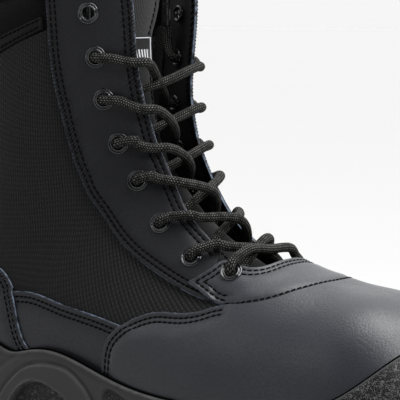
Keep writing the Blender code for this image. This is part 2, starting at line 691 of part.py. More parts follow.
def laces():
    path = smooth_path(lace_path(), 8.0)
    tube("lace", path, LACE_R, LACE_SIDES, (0.03, 0.03, 0.028), roughness=0.85, smooth=80)
    for side, end, inner in (("lateral", path[0], path[1]), ("medial", path[-1], path[-2])):
        away = (end - inner) / np.linalg.norm(end - inner)
        tip = np.array([end + away * (GAP + AGLET_LENGTH * share) for share in (0, 0.5, 1)])
        tube(f"aglet_{side}", tip, AGLET_R, 8, (0.02, 0.02, 0.02), roughness=0.3)


def tongue_point(t, y, depth):
    """A point on the tongue, which follows the upper at the throat and lies flatter and deeper above."""
    fall = depth + np.interp(t, *np.transpose(TONGUE_DEPTH))
    row = STATION(t)
    half = row[4] if y < 0 else row[5]
    s = math.asin((y - row[6]) / half) / math.radians(min(row[8], 180))
    near = shell_point(t, s, -fall)
    front, n = surface(t, 0.0), normals(t, 0.0)
    flat = front - n * (fall + y * y / (2 * TONGUE_CURVE_R)) + np.array([0.0, 1.0, 0.0]) * y
    return near + (flat - near) * ease(0.60, 0.85, t)


def tongue_y(t, across):
    """The tongue's y at a station, from its lateral edge (-1) to its medial one (1)."""
    stations, middles, halves = np.transpose(TONGUE_WIDTH)
    return np.interp(t, stations, middles) + across * np.interp(t, stations, halves)


def tongue_sheet(name, t_ends, place, out, into, colour, rows, columns, **look):
    """A sheet on the tongue between two depths, counted inwards. Its place gives y at (t, -1 to 1)."""
    ts, across = np.linspace(*t_ends, rows), np.linspace(-1, 1, columns)
    points = [tongue_point(t, place(t, u), d) for d in (out, into) for t in ts for u in across]
    triangles = []
    for i in range(rows - 1):
        for j in range(columns - 1):
            a, b = i * columns + j, (i + 1) * columns + j
            triangles += [(a, a + 1, b + 1), (a, b + 1, b)]
    count = rows * columns
    return add_object(name, *thicken(triangles, points[:count], points[count:]), colour, **look)


def tongue():
    label_y = lambda t, u: LABEL_Y + LABEL_HALF * u
    tongue_sheet("tongue", TONGUE_T, tongue_y, 0.0, TONGUE_THICK, CLOTH, 13, 7, roughness=0.85)
    tongue_sheet("tongue_label", LABEL_T, label_y, -1.2, -2 * GAP, (0.04, 0.04, 0.04), 5, 5, roughness=0.7)


def sole_ring():
    """Plan points and outward directions of the upper's lower edge, at even steps around it."""
    ts = np.linspace(0.0, HEEL_T, 200)
    lateral, medial = surface(ts, -1.0)[:, :2], surface(ts, 1.0)[:, :2]
    loop = np.vstack([lateral, medial[::-1]])
    closed = np.vstack([loop, loop[:1]])
    run = np.concatenate([[0], np.cumsum(np.hypot(*np.diff(closed, axis=0).T))])
    wanted = np.arange(RING_POINTS) * run[-1] / RING_POINTS
    ring = np.stack([np.interp(wanted, run, closed[:, i]) for i in range(2)], -1)
    for _ in range(2):
        ring = (np.roll(ring, 1, axis=0) + 2 * ring + np.roll(ring, -1, axis=0)) / 4
    ahead = np.roll(ring, -1, axis=0) - np.roll(ring, 1, axis=0)
    out = np.stack([-ahead[:, 1], ahead[:, 0]], -1)
    out /= np.linalg.norm(out, axis=1, keepdims=True)
    middle = ring.mean(axis=0)
    if ((ring - middle) * out).sum() < 0:
        out = -out
    return ring, out


RING, RING_OUT = sole_ring()


def curve_through(points):
    """A height that depends on x, smooth through the given points."""
    xs, zs = np.array(points, float).T
    spline = natural_spline(xs, zs[:, None])
    return lambda x: spline(np.clip(x, xs[0], xs[-1]))[..., 0]


sole_top = curve_through(SOLE_TOP_EDGE)


def ground(x):
    xs, zs = np.array(SOLE_GROUND).T
    return np.interp(x, xs, zs)


def edge_height(x):
    """Height of the upper's lower edge above the ground."""
    ts = np.linspace(0.02, HEEL_T, 120)
    points = surface(ts, -1.0)
    order = np.argsort(points[:, 0])
    return np.interp(x, points[order, 0], points[order, 2])


def upper_tree():
    """The outside of the upper's leather, closed across the lower back of the heel, for measuring."""
    ts = np.linspace(0.004, 0.95, 190)
    ss = np.linspace(-1, 1, 97)
    grid = shell_point(ts[:, None], ss[None, :] * 0.9999, np.full((len(ts), len(ss)), OVERLAY_OUT + GAP))
    columns = len(ss)
    faces = []
    for i in range(len(ts) - 1):
        for j in range(columns - 1):
            a = i * columns + j
            faces.append((a, a + 1, a + 1 + columns, a + columns))
        if ts[i] > HEEL_T - 0.01:
            last = i * columns + columns - 1
            faces.append((last, i * columns, (i + 1) * columns, last + columns))
    return BVHTree.FromPolygons([Vector(p) for p in grid.reshape(-1, 3)], faces)


def wall_points(tree, heights):
    """Where the upper's outside is, level with each ring point at its own height."""
    points = []
    for (x, y), (dx, dy), z, low in zip(RING, RING_OUT, heights, edge_height(RING[:, 0])):
        clear = WALL_CLEAR if ROUND_ENDS[0] < x < ROUND_ENDS[1] else WALL_CLEAR_ROUND
        base = np.array([x + dx * (OVERLAY_OUT + GAP), y + dy * (OVERLAY_OUT + GAP), z])
        if z > low + 0.5:
            start = Vector((x + dx * 40, y + dy * 40, z))
            hit = tree.ray_cast(start, Vector((-dx, -dy, 0)), 120)[0]
            if hit is not None:
                base = np.array(hit)
        points.append(base + np.array([dx, dy, 0]) * clear)
    return np.array(points)


def moved_out(points, distance):
    return points + np.hstack([RING_OUT, np.zeros((len(RING_OUT), 1))]) * distance


def outsole_rows(tree):
    """Rings of the outsole from its ground edge, up the outside and down the inside to the floor."""
    top = sole_top(RING[:, 0] + 4 * RING_OUT[:, 0])
    low = ground(RING[:, 0] + 6 * RING_OUT[:, 0])
    floor = low + TREAD_FLOOR
    foot = wall_points(tree, np.zeros(len(RING)))
    rows = []
    for height, out in ((0.0, 1.6), (0.35, SIDEWALL + 0.6)):
        ring = moved_out(foot, out)
        ring[:, 2] = low + height * (floor - low)
        rows.append(ring)
    shares = (0.25, 0.5, 0.75, 1.0)
    for share in shares:
        ring = wall_points(tree, floor + share * (top - floor))
        rows.append(moved_out(ring, SIDEWALL + (SIDEWALL_TOP - SIDEWALL) * share**2))
    for share in shares[::-1] + (0.0,):
        rows.append(wall_points(tree, floor + share * (top - floor)))
    return rows


def cap(ring, height, step, upward):
    """Triangles across a closed ring, with inner points at a height that depends on x."""
    flat, triangles = triangulate(ring[:, :2], [], step)
    points = np.column_stack([flat, height(flat[:, 0])])
    points[: len(ring), 2] = ring[:, 2]
    return points, triangles if upward else triangles[:, ::-1]


def outsole(tree):
    rows = outsole_rows(tree)
    count = len(RING)
    points = list(np.vstack(rows))
    faces = []
    for r in range(len(rows) - 1):
        for i in range(count):
            a, b = r * count + i, r * count + (i + 1) % count
            faces.append((a, b, b + count, a + count))
    for ring_start, upward in ((0, False), ((len(rows) - 1) * count, True)):
        ring = np.array(points[ring_start : ring_start + count])
        level = (lambda x: ground(x) + TREAD_FLOOR) if upward else ground
        inner, triangles = cap(ring, level, 14.0, upward)
        renumber = [ring_start + i if i < count else len(points) + i - count for i in range(len(inner))]
        points += list(inner[count:])
        faces += [tuple(renumber[i] for i in t) for t in triangles]
    obj = add_object("outsole", points, faces, RUBBER, roughness=0.7, smooth=35)
    face_outward(obj.data)
    return obj


def face_outward(mesh):
    """Turn all faces of a closed mesh outwards."""
    shape = bmesh.new()
    shape.from_mesh(mesh)
    bmesh.ops.recalc_face_normals(shape, faces=shape.faces)
    shape.to_mesh(mesh)
    shape.free()


def slab(name, ring, low, high, colour, **look):
    """A flat-sided layer of the bottom, between two heights that depend on x."""
    flat, triangles = triangulate(ring, [], 14.0)
    top = np.column_stack([flat, high(flat[:, 0])])
    bottom = np.column_stack([flat, low(flat[:, 0])])
    return add_object(name, *thicken(triangles, top, bottom), colour, **look)


def inset_ring(distance):
    """The sole ring moved in, thinned out for flat layers."""
    return (RING - RING_OUT * distance)[::2]


def box_points(x0, x1, y0, y1, z0, z1):
    return [(x, y, z) for z in (z0, z1) for x, y in ((x0, y0), (x1, y0), (x1, y1), (x0, y1))]


BOX_FACES = [(3, 2, 1, 0), (4, 5, 6, 7), (0, 1, 5, 4), (1, 2, 6, 5), (2, 3, 7, 6), (3, 0, 4, 7)]


def cut(obj, name, points, faces):
    """Take a closed shape away from an object."""
    cutter = add_object(name, points, faces, RUBBER)
    cutter.hide_render = True
    cutter.display_type = "WIRE"
    tool = obj.modifiers.new("cut", "BOOLEAN")
    tool.operation = "DIFFERENCE"
    tool.solver = "EXACT"
    tool.object = cutter


def tread_grooves(sole):
    """Slanted grooves across the heel and the forefoot, on both sides of a plain middle strip."""
    points, faces = [], []
    for x in GROOVE_PLACES:
        for y0, y1 in ((PLAIN_HALF, 70.0), (-70.0, -PLAIN_HALF)):
            start = len(points)
            for px, py, pz in box_points(x, x + GROOVE_WIDTH, y0, y1, -5.0, GROOVE_DEPTH):
                points.append((px + GROOVE_SLANT * (abs(py) - PLAIN_HALF), py, pz + float(ground(x))))
            faces += [tuple(start + i for i in f) for f in BOX_FACES]
    cut(sole, "groove_cutter", points, faces)


def midsole():
    ring = (RING + RING_OUT * (OVERLAY_OUT - 0.3))[::2]
    low = lambda x: ground(x) + TREAD_FLOOR + 1.4
    high = lambda x: edge_height(x) - 1.6
    obj = slab("midsole", ring, low, high, (0.05, 0.05, 0.05), roughness=0.8)
    x0, x1, half, thick = SHANK
    points, faces = shank_shape(x0 - GAP, x1 + GAP, half + GAP, -thick - GAP, 3.0)
    cut(obj, "shank_pocket_cutter", points, faces)


def shank_shape(x0, x1, half, low, high):
    """A strip that follows the upper's lower edge along the waist."""
    xs = np.linspace(x0, x1, 8)
    base = edge_height(xs) - 1.9
    points = [(x, y, z + h) for h in (low, high) for x, z in zip(xs, base) for y in (-half, half)]
    faces = []
    count = 2 * len(xs)
    for i in range(len(xs) - 1):
        a, b, c, d = 2 * i, 2 * i + 1, 2 * i + 3, 2 * i + 2
        faces += [(a, b, c, d), (a + count, d + count, c + count, b + count)]
        faces += [(a, d, d + count, a + count), (b, b + count, c + count, c)]
    last = count - 2
    faces += [(0, count, count + 1, 1), (last, last + 1, last + 1 + count, last + count)]
    return points, faces


def shank():
    x0, x1, half, thick = SHANK
    points, faces = shank_shape(x0, x1, half, -thick, 0.0)
    add_object("shank", points, faces, (0.5, 0.5, 0.52), roughness=0.3, metallic=1.0)


def insole_board():
    low = lambda x: edge_height(x) - 0.3
    high = lambda x: edge_height(x) - 0.3 + BOARD_THICK
    slab("insole_board", inset_ring(BOARD_INSET), low, high, (0.45, 0.40, 0.32), roughness=0.9)


def footbed():
    low = lambda x: edge_height(x) + BOARD_THICK
    high = lambda x: edge_height(x) + BOARD_THICK + FOOTBED_THICK
    slab("footbed", inset_ring(FOOTBED_INSET), low, high, (0.03, 0.03, 0.03), roughness=0.9)


def build():
    for obj in list(bpy.data.objects):
        bpy.data.objects.remove(obj)
    for side, sign in (("lateral", 1), ("medial", -1)):
        eyestay(side, sign)
        quarter(side, sign)
        foxing(side, sign)
    throat_saddle()
    vamp()
    heel_counter()
    heel_stiffener()
    backstay()
    toe_cap()
    linings()
    collar_band("collar_binding", *BINDING, 0.0, 1.6)
    collar_band("collar_pad", *COLLAR, -5.0, 3.0)
    eyelets()
    laces()
    tongue()
    tread_grooves(outsole(upper_tree()))
    midsole()
    shank()
    insole_board()
    footbed()


build()
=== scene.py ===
import math

import bmesh
import bpy
import numpy as np
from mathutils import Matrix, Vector, noise
from mathutils.bvhtree import BVHTree
from mathutils.geometry import delaunay_2d_cdt
from mathutils.kdtree import KDTree


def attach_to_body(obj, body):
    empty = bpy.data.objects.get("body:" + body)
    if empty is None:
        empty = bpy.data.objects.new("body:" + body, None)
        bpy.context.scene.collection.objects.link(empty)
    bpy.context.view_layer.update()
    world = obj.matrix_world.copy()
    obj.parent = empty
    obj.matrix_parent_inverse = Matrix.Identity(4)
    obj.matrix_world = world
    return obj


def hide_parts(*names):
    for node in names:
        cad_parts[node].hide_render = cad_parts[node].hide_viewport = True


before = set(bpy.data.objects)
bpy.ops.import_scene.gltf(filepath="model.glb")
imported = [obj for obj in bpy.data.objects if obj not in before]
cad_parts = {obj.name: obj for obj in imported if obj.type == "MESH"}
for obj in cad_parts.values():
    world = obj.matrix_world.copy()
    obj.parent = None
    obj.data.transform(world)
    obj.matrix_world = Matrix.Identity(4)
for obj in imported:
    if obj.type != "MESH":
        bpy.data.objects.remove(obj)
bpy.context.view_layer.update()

# Lengths are millimetres on the drawn last, as in the CAD source: x from the heel (0) to the toe, y to the
# medial side, z up. A place on the upper is (t, s), and its height is counted out from the reference surface.
MM = 0.001
GRADE = 0.965
HEEL_CENTRE_X = 42.0

TOE_TIP_X = 299.0
TOE_BACK_X = 238.0
TOE_EDGE_Z = 28.0
TOE_HEIGHT = 54.0
TOE_HALF_LATERAL = 47.0
TOE_HALF_MEDIAL = 46.0
TOE_ROW_ANGLES = (0.0, 14.0, 30.0, 46.0, 62.0, 77.0)
# Sections: x and z in front, x and z behind, half widths, y shift, roundness and reach around in degrees
BODY_ROWS = [
    (238.0, 83.5, 237.0, 25.0, 47.5, 46.5, 2.5, 0.82, 93),
    (222.0, 87.5, 215.0, 23.0, 48.5, 46.5, 0.5, 0.86, 95),
    (207.0, 92.5, 189.0, 22.5, 48.5, 45.5, -1.0, 0.92, 98),
    (193.0, 99.5, 160.0, 24.5, 46.5, 42.0, -1.5, 0.97, 102),
    (180.0, 109.5, 130.0, 28.0, 43.5, 39.0, -1.0, 1.0, 107),
    (168.0, 121.0, 98.0, 31.5, 41.0, 37.0, -0.5, 1.0, 112),
    (158.0, 134.0, 63.0, 34.0, 39.0, 36.0, 0.0, 1.0, 120),
    (150.5, 147.0, 31.0, 35.0, 37.5, 36.0, 0.0, 1.0, 136),
    (145.5, 161.0, 6.5, 36.0, 37.5, 36.0, 0.0, 1.0, 165),
    (143.0, 175.0, 1.5, 52.0, 38.0, 36.5, 0.0, 1.0, 180),
    (141.5, 189.0, 4.0, 82.0, 39.0, 38.0, 0.0, 1.0, 180),
    (141.0, 203.0, 10.0, 116.0, 40.5, 39.5, 0.0, 1.0, 180),
    (141.0, 217.0, 13.0, 151.0, 42.0, 41.5, 0.0, 1.0, 180),
    (140.5, 232.0, 12.0, 190.0, 43.5, 43.0, 0.0, 1.0, 180),
    (139.5, 247.0, 9.0, 228.0, 45.0, 44.5, 0.0, 1.0, 180),
]
# How far the medial side's lacing edge lies further round than the lateral one, along t
MEDIAL_SHIFT = [
    (0.345, 0.0), (0.375, 0.050), (0.40, 0.080), (0.44, 0.095), (0.48, 0.100), (0.52, 0.085), (0.56, 0.070),
    (0.60, 0.062), (0.66, 0.045), (0.75, 0.038), (0.85, 0.020), (0.95, 0.010), (1.03, 0.010),
]
T_LENGTH, S_LENGTH = 500.0, 115.0  # rough lengths of one unit of t and of s
HEEL_ROW = 14
CLOSED_ROW = 15

# Heights of the layers over the reference surface
CLOTH_OUT = 0.9
LEATHER_IN, LEATHER_OUT = 1.5, 2.7
OVERLAY_IN, OVERLAY_OUT = 3.3, 4.5
LINING = (-2.4, -1.2)
GAP = 0.3

# Outlines of the lateral side as (t, s) points
EYESTAY_FRONT = [
    (0.985, -0.20), (0.905, -0.19), (0.843, -0.185), (0.798, -0.18), (0.730, -0.165), (0.694, -0.16),
    (0.663, -0.17), (0.599, -0.20), (0.530, -0.235), (0.500, -0.24), (0.440, -0.24),
]
EYESTAY_REAR = [
    (0.392, -0.47), (0.423, -0.483), (0.460, -0.49), (0.528, -0.49), (0.579, -0.47), (0.617, -0.44),
    (0.653, -0.40), (0.696, -0.36), (0.742, -0.365), (0.790, -0.385), (0.847, -0.41), (0.891, -0.42),
    (0.944, -0.42), (0.985, -0.42),
]
EYELETS = [
    (0.393, -0.305), (0.464, -0.360), (0.544, -0.345), (0.629, -0.295), (0.698, -0.255),
    (0.774, -0.275), (0.843, -0.295), (0.909, -0.310), (0.966, -0.315),
]
SADDLE_TOP = [
    (0.4385, -0.450), (0.424, -0.34), (0.4215, -0.29), (0.405, -0.255), (0.381, -0.23), (0.363, -0.17),
    (0.358, -0.06),
]
SADDLE_BOTTOM = [
    (0.268, -0.06), (0.277, -0.18), (0.284, -0.23), (0.300, -0.32), (0.321, -0.39), (0.345, -0.435),
    (0.371, -0.460),
]
SADDLE_REAR = [(0.383, -0.465), (0.4127, -0.455)]
WING_EDGE = [
    (0.382, -0.483), (0.393, -0.515), (0.417, -0.565), (0.446, -0.60), (0.462, -0.63), (0.478, -0.68),
    (0.486, -0.73), (0.488, -0.77), (0.484, -0.82), (0.472, -0.90), (0.462, -0.985),
]
COUNTER_EDGE = [
    (0.545, -0.985), (0.568, -0.90), (0.583, -0.87), (0.623, -0.76), (0.643, -0.70), (0.667, -0.64),
    (0.690, -0.612), (0.718, -0.63), (0.748, -0.69), (0.778, -0.78), (0.800, -0.88), (0.808, -0.97),
]
FOXING_TOP = [
    (0.652, -0.695), (0.639, -0.70), (0.587, -0.72), (0.536, -0.72), (0.484, -0.713), (0.462, -0.71),
]
FOXING_BOTTOM = [(0.442, -0.985), (0.572, -0.985), (0.610, -0.88)]
VAMP_TIP_T = 0.012
SOLE_S = 0.985
BINDING = (0.915, 0.929)
COLLAR = (0.932, 0.992)
COLLAR_ENDS = (-0.437, -1.563)  # s of the collar's lateral and medial front ends, counted round the back
BACKSTAY_EDGE = [(0.818, -0.90), (0.865, -0.915), (0.912, -0.90)]
QUARTER_FRONT = [
    (0.385, -0.420), (0.440, -0.425), (0.480, -0.425), (0.530, -0.425), (0.579, -0.405), (0.629, -0.36),
    (0.698, -0.325), (0.774, -0.345), (0.843, -0.365), (0.910, -0.38),
]
QUARTER_BACK = [(0.913, -0.50), (0.912, -0.75), (0.912, -0.985), (0.750, -0.985)]
QUARTER_BOTTOM = [
    (0.735, -0.84), (0.700, -0.775), (0.640, -0.775), (0.580, -0.79), (0.480, -0.78), (0.412, -0.65),
    (0.377, -0.52),
]
LINING_THROAT = [(0.437, -0.98), (0.420, -0.50), (0.352, -0.30)]
LINING_FRONT = [
    (0.445, -0.985), (0.445, -0.52), (0.500, -0.46), (0.560, -0.46), (0.630, -0.41), (0.700, -0.37),
    (0.780, -0.39), (0.860, -0.41), (0.925, -0.42),
]

EYELET_HEIGHT = 1.1
EYELET_HOLE_R = 3.8
LACE_R = 2.0
CORD_R = 2.3  # the braid swells a little over its drawn radius
LACE_STEP = 0.75
AGLET_R = 1.7
AGLET_LENGTH = 18.0
TOP_LACED = len(EYELETS) - 3
# Where each strand leaves its flap between two eyelets, from the lateral side and from the medial one
FLAP_SHARES = {1: (0.25, 0.34, 0.48, 0.62, 0.70, 0.57), -1: (0.02, 0.10, 0.26, 0.50, 0.60, 0.62)}
CROSSING_LIFTS = {(5, 1): 1.0, (6, 1): 0.8, (6, -1): 1.5}  # looser strands, by eyelet and side
CROSSING_CLEAR = 4.2

TONGUE_T = (0.375, 1.03)
TONGUE_WIDTH = [  # t, y of the middle, half width
    (0.375, 0.0, 22.0), (0.50, 0.0, 21.0), (0.60, -3.0, 19.0), (0.72, -6.0, 16.5), (0.82, -6.0, 16.0),
    (0.87, -3.5, 22.0), (0.92, -1.5, 26.0), (1.03, 0.0, 26.0),
]
TONGUE_CURVE_R = 44.0
TONGUE_LAY = 410.0  # cloth length of the whole station range, for the weave
TONGUE_DEPTH = [  # t, depth below the reference surface
    (0.36, 5.4), (0.42, 7.4), (0.48, 10.2), (0.56, 13.8), (0.64, 18.0), (0.72, 21.5), (0.80, 23.5),
    (1.03, 24.0),
]
LABEL_T = (0.772, 0.818)
LABEL_Y = -6.0
LABEL_HALF = 12.5

SIDEWALL, SIDEWALL_TOP = 3.4, 2.0  # the side wall's thickness, and at its top edge
TREAD_FLOOR = 8.5
SOLE_TOP_EDGE = [
    (-10.0, 52.0), (30.0, 50.0), (57.0, 47.5), (67.0, 45.0), (80.0, 47.0), (96.0, 48.5), (110.0, 46.5),
    (129.0, 41.5), (150.0, 37.0), (175.0, 34.5), (215.0, 33.5), (245.0, 36.5), (264.0, 45.0),
    (276.0, 54.5), (288.0, 63.5), (300.0, 68.0), (312.0, 69.0),
]
SOLE_GROUND = [
    (-12.0, 3.0), (6.0, 0.0), (40.0, 0.0), (74.0, 0.0), (84.0, 6.0), (100.0, 11.0), (116.0, 9.0),
    (132.0, 1.0), (142.0, 0.0), (180.0, 0.0), (232.0, 0.0), (262.0, 2.5), (290.0, 8.0), (310.0, 13.0),
]


# ---------------------------------------------------------------- the reference surface
def natural_spline(knots, values):
    """A natural cubic spline through the rows of values, straight beyond its last knot."""
    knots = np.asarray(knots, float)
    values = np.asarray(values, float)
    count, steps = len(knots), np.diff(knots)
    system = np.eye(count)
    right = np.zeros_like(values)
    for i in range(1, count - 1):
        system[i, i - 1 : i + 2] = steps[i - 1], 2 * (steps[i - 1] + steps[i]), steps[i]
        right[i] = 6 * ((values[i + 1] - values[i]) / steps[i] - (values[i] - values[i - 1]) / steps[i - 1])
    bend = np.linalg.solve(system, right)
    end_slope = (values[-1] - values[-2]) / steps[-1] + bend[-2] * steps[-1] / 6

    def at(t):
        t = np.asarray(t, float)
        within = np.clip(t, knots[0], knots[-1])
        i = np.clip(np.searchsorted(knots, within) - 1, 0, count - 2)
        step = steps[i][..., None]
        u = (knots[i + 1] - within)[..., None] / step
        v = 1 - u
        line = u * values[i] + v * values[i + 1]
        line += ((u**3 - u) * bend[i] + (v**3 - v) * bend[i + 1]) * step**2 / 6
        return line + (t - within)[..., None] * end_slope

    return at


def toe_rows():
    rows = []
    for angle in np.radians(TOE_ROW_ANGLES):
        forward, across = math.cos(angle), math.sin(angle)
        x = TOE_BACK_X + (TOE_TIP_X - TOE_BACK_X) * forward**0.95
        width = across**0.86
        top = TOE_EDGE_Z + 0.5 + TOE_HEIGHT * across**0.80
        half = (0.5 + TOE_HALF_LATERAL * width, 0.5 + TOE_HALF_MEDIAL * width)
        rows.append((x, top, x, TOE_EDGE_Z, *half, 9 - 6 * across, 0.80, 92))
    return rows


def station_curves():
    rows = np.array(toe_rows() + BODY_ROWS, float)
    front = np.hypot(*np.diff(rows[:, 0:2], axis=0).T)
    back = np.hypot(*np.diff(rows[:, 2:4], axis=0).T)
    knots = np.concatenate([[0], np.cumsum(front + 0.35 * back + 1.2)])
    knots /= knots[-1]
    return knots, natural_spline(knots, rows)


KNOTS, STATION = station_curves()
SHIFT_T, SHIFT_S = np.transpose(MEDIAL_SHIFT)
SHIFT = natural_spline(SHIFT_T, SHIFT_S[:, None])
HEEL_T = KNOTS[HEEL_ROW]
CLOSED_T = KNOTS[CLOSED_ROW]


def signed_power(value, power):
    return np.sign(value) * np.abs(value) ** power


def wrap(s):
    return (np.asarray(s, float) + 1) % 2 - 1


def ease(low, high, value):
    """0 below low, 1 above high and smooth between."""
    share = np.clip((np.asarray(value, float) - low) / (high - low), 0, 1)
    return share * share * (3 - 2 * share)


def bell(distance, width):
    """1 at distance 0, falling off smoothly on both sides."""
    return np.exp(-((distance / width) ** 2))


def surface(t, s):
    """Points of the reference surface in millimetres."""
    t, s = np.broadcast_arrays(np.asarray(t, float), np.asarray(s, float))
    shift = SHIFT(np.clip(t, SHIFT_T[0], SHIFT_T[-1]))[..., 0]
    s = s + shift * ease(0.0, 0.2, s) * (1 - ease(0.5, 0.85, s))
    row = STATION(t)
    x_front, z_front, x_back, z_back, lateral, medial, shift, power, reach = np.moveaxis(row, -1, 0)
    reach = np.radians(np.minimum(reach, 180))
    angle = np.abs(s) * reach
    along = (1 - signed_power(np.cos(angle), power)) / (1 - signed_power(np.cos(reach), power))
    half = np.where(s < 0, lateral, medial)
    y = shift + np.sign(s) * half * np.abs(np.sin(angle)) ** power
    return np.stack([x_front + (x_back - x_front) * along, y, z_front + (z_back - z_front) * along], -1)


def normals(t, s):
    """Outward unit normals of the reference surface."""
    t, s = np.broadcast_arrays(np.asarray(t, float), np.asarray(s, float))
    closed = t >= CLOSED_T
    more = np.where(closed, wrap(s + 0.006), np.minimum(s + 0.006, 1))
    less = np.where(closed, wrap(s - 0.006), np.maximum(s - 0.006, -1))
    along = surface(t + 0.002, s) - surface(np.maximum(t - 0.002, 0.001), s)
    around = surface(t, more) - surface(t, less)
    cross = np.cross(around, along)
    return cross / np.linalg.norm(cross, axis=-1, keepdims=True)


def shell_point(t, s, out):
    s = wrap(s)
    return surface(t, s) + np.asarray(out, float)[..., None] * normals(t, s)


def place(t, s):
    return surface(t, wrap(s))


def to_world(points):
    return (np.asarray(points, float) - (HEEL_CENTRE_X, 0, 0)) * GRADE * MM


def frame_at(t, s):
    """A place on the reference surface with its outward, along and around directions."""
    n = normals(t, s)
    along = surface(t + 0.003, s) - surface(t - 0.003, s)
    along -= n * (along @ n)
    along /= np.linalg.norm(along)
    return surface(t, s), n, along, np.cross(n, along)


def unit(vectors):
    return vectors / np.maximum(np.linalg.norm(vectors, axis=-1, keepdims=True), 1e-9)


# ---------------------------------------------------------------- lines on the surface
def curve(points, step=1.7):
    """A smooth line through (t, s) points, in even steps on the surface."""
    points = np.array(points, float)
    lengths = np.hypot(*(np.diff(points, axis=0) * (T_LENGTH, S_LENGTH)).T)
    knots = np.concatenate([[0], np.cumsum(np.sqrt(lengths))])
    fine = natural_spline(knots, points)(np.linspace(0, knots[-1], 40 * len(points)))
    run = run_length(place(*fine.T))
    wanted = np.linspace(0, run[-1], max(2, round(run[-1] / step) + 1))
    return along_line(wanted, run, fine)


def run_length(points):
    return np.concatenate([[0], np.cumsum(np.linalg.norm(np.diff(points, axis=0), axis=1))])


def slopes(t, s):
    """How the surface point moves with t and with s."""
    per_t = (place(t + 0.002, s) - place(t - 0.002, s)) / 0.004
    per_s = (place(t, s + 0.004) - place(t, s - 0.004)) / 0.008
    return per_t, per_s


def offset(line, distance, closed=False):
    """The line moved sideways over the surface by millimetres, to the left in the (t, s) plane."""
    t, s = line.T
    per_t, per_s = slopes(t, s)
    if closed:
        ahead = np.roll(line, -1, axis=0) - np.roll(line, 1, axis=0)
    else:
        ahead = np.gradient(line, axis=0)
    run = per_t * ahead[:, :1] + per_s * ahead[:, 1:]
    side = unit(np.cross(run, normals(t, wrap(s))))
    a, b, c = (per_t * per_t).sum(-1), (per_t * per_s).sum(-1), (per_s * per_s).sum(-1)
    p, q = (per_t * side).sum(-1), (per_s * side).sum(-1)
    det = a * c - b * b
    return line + distance * np.stack([(c * p - b * q) / det, (a * q - b * p) / det], -1)


def signed_area(loop):
    x, y = loop.T
    return 0.5 * (x * np.roll(y, -1) - np.roll(x, -1) * y).sum()


def inside(points, loop):
    """Which of the points lie inside a closed loop."""
    found = np.zeros(len(points), bool)
    for start in range(0, len(points), 2000):
        x, y = points[start : start + 2000, 0, None], points[start : start + 2000, 1, None]
        a, b = loop, np.roll(loop, -1, axis=0)
        crosses = (a[:, 1] > y) != (b[:, 1] > y)
        rise = np.where(b[:, 1] == a[:, 1], 1e-12, b[:, 1] - a[:, 1])
        at_x = a[:, 0] + (y - a[:, 1]) / rise * (b[:, 0] - a[:, 0])
        found[start : start + 2000] = (crosses & (x < at_x)).sum(axis=1) % 2 == 1
    return found


def within(points, loops):
    """Which of the points lie inside the first loop and outside the others."""
    found = inside(points, loops[0])
    for hole in loops[1:]:
        found &= ~inside(points, hole)
    return found


def line_distance(points, line, closed=False):
    """How far each point is from the nearest part of a line."""
    if len(points) == 0:
        return np.zeros(0)
    a = line if closed else line[:-1]
    side = (np.roll(line, -1, axis=0) if closed else line[1:]) - a
    square = np.maximum((side * side).sum(-1), 1e-12)
    nearest = np.empty(len(points))
    for start in range(0, len(points), 1000):
        p = points[start : start + 1000, None, :]
        along = np.clip(((p - a) * side).sum(-1) / square, 0, 1)
        gap = p - a - side * along[..., None]
        nearest[start : start + 1000] = np.sqrt((gap * gap).sum(-1)).min(axis=1)
    return nearest


def thin_out(kept, extra, gap):
    """Those of the extra (t, s) points that stay clear of the kept ones and of each other."""
    solid = place(*np.vstack([kept, extra]).T)
    cells, chosen = set(), []
    for row in np.floor(solid[: len(kept)] / gap).astype(int):
        cells.add(tuple(row))
    for i, row in enumerate(np.floor(solid[len(kept) :] / gap).astype(int)):
        key = tuple(row)
        if key not in cells:
            cells.add(key)
            chosen.append(i)
    return extra[chosen]


def turn_upwards(points, triangles):
    """Turns every triangle of the plane the same way round; gives twice the signed areas from before."""
    a, b, c = (points[triangles[:, i]] for i in range(3))
    area = (b - a)[:, 0] * (c - a)[:, 1] - (b - a)[:, 1] * (c - a)[:, 0]
    triangles[area < 0] = triangles[area < 0][:, ::-1]
    return area


def staggered(columns, rows):
    """Points of a grid with every second row moved by half a column."""
    shift = (columns[1] - columns[0]) / 2
    return np.array([(x + (j % 2) * shift, y) for j, y in enumerate(rows) for x in columns])


def triangulate(points, edges):
    verts, _, faces, *_ = delaunay_2d_cdt([Vector(p) for p in points], edges, [], 0, 1e-6, False)
    return np.array([tuple(v) for v in verts]), np.array(faces)


def fill(loops, extra, step):
    """Triangles inside the first loop and outside the others, with extra points and an even grid."""
    scale = np.array([T_LENGTH, S_LENGTH])
    fixed = np.vstack(loops)
    points = np.vstack([fixed, thin_out(fixed, extra, 0.42)]) if len(extra) else fixed
    low, high = loops[0].min(axis=0) * scale, loops[0].max(axis=0) * scale
    columns = np.arange(low[0], high[0], step * 1.2)
    rows = np.arange(low[1], high[1], step * 0.75)
    grid = staggered(columns, rows) / scale
    grid = grid[within(grid, loops)]
    tree = KDTree(len(points))
    for i, p in enumerate(place(*points.T)):
        tree.insert(p, i)
    tree.balance()
    clear = [tree.find(p)[2] > step * 0.6 for p in place(*grid.T)]
    points = np.vstack([points, grid[clear]])
    edges, start = [], 0
    for loop in loops:
        count = len(loop)
        edges += [(start + i, start + (i + 1) % count) for i in range(count)]
        start += count
    flat, triangles = triangulate(points * scale, edges)
    flat = flat / scale
    keep = within(flat[triangles].mean(axis=1), loops)
    keep &= np.abs(turn_upwards(flat * scale, triangles)) > 0.0005
    used, renumbered = np.unique(triangles[keep], return_inverse=True)
    return flat[used], renumbered.reshape(-1, 3)[:, ::-1]


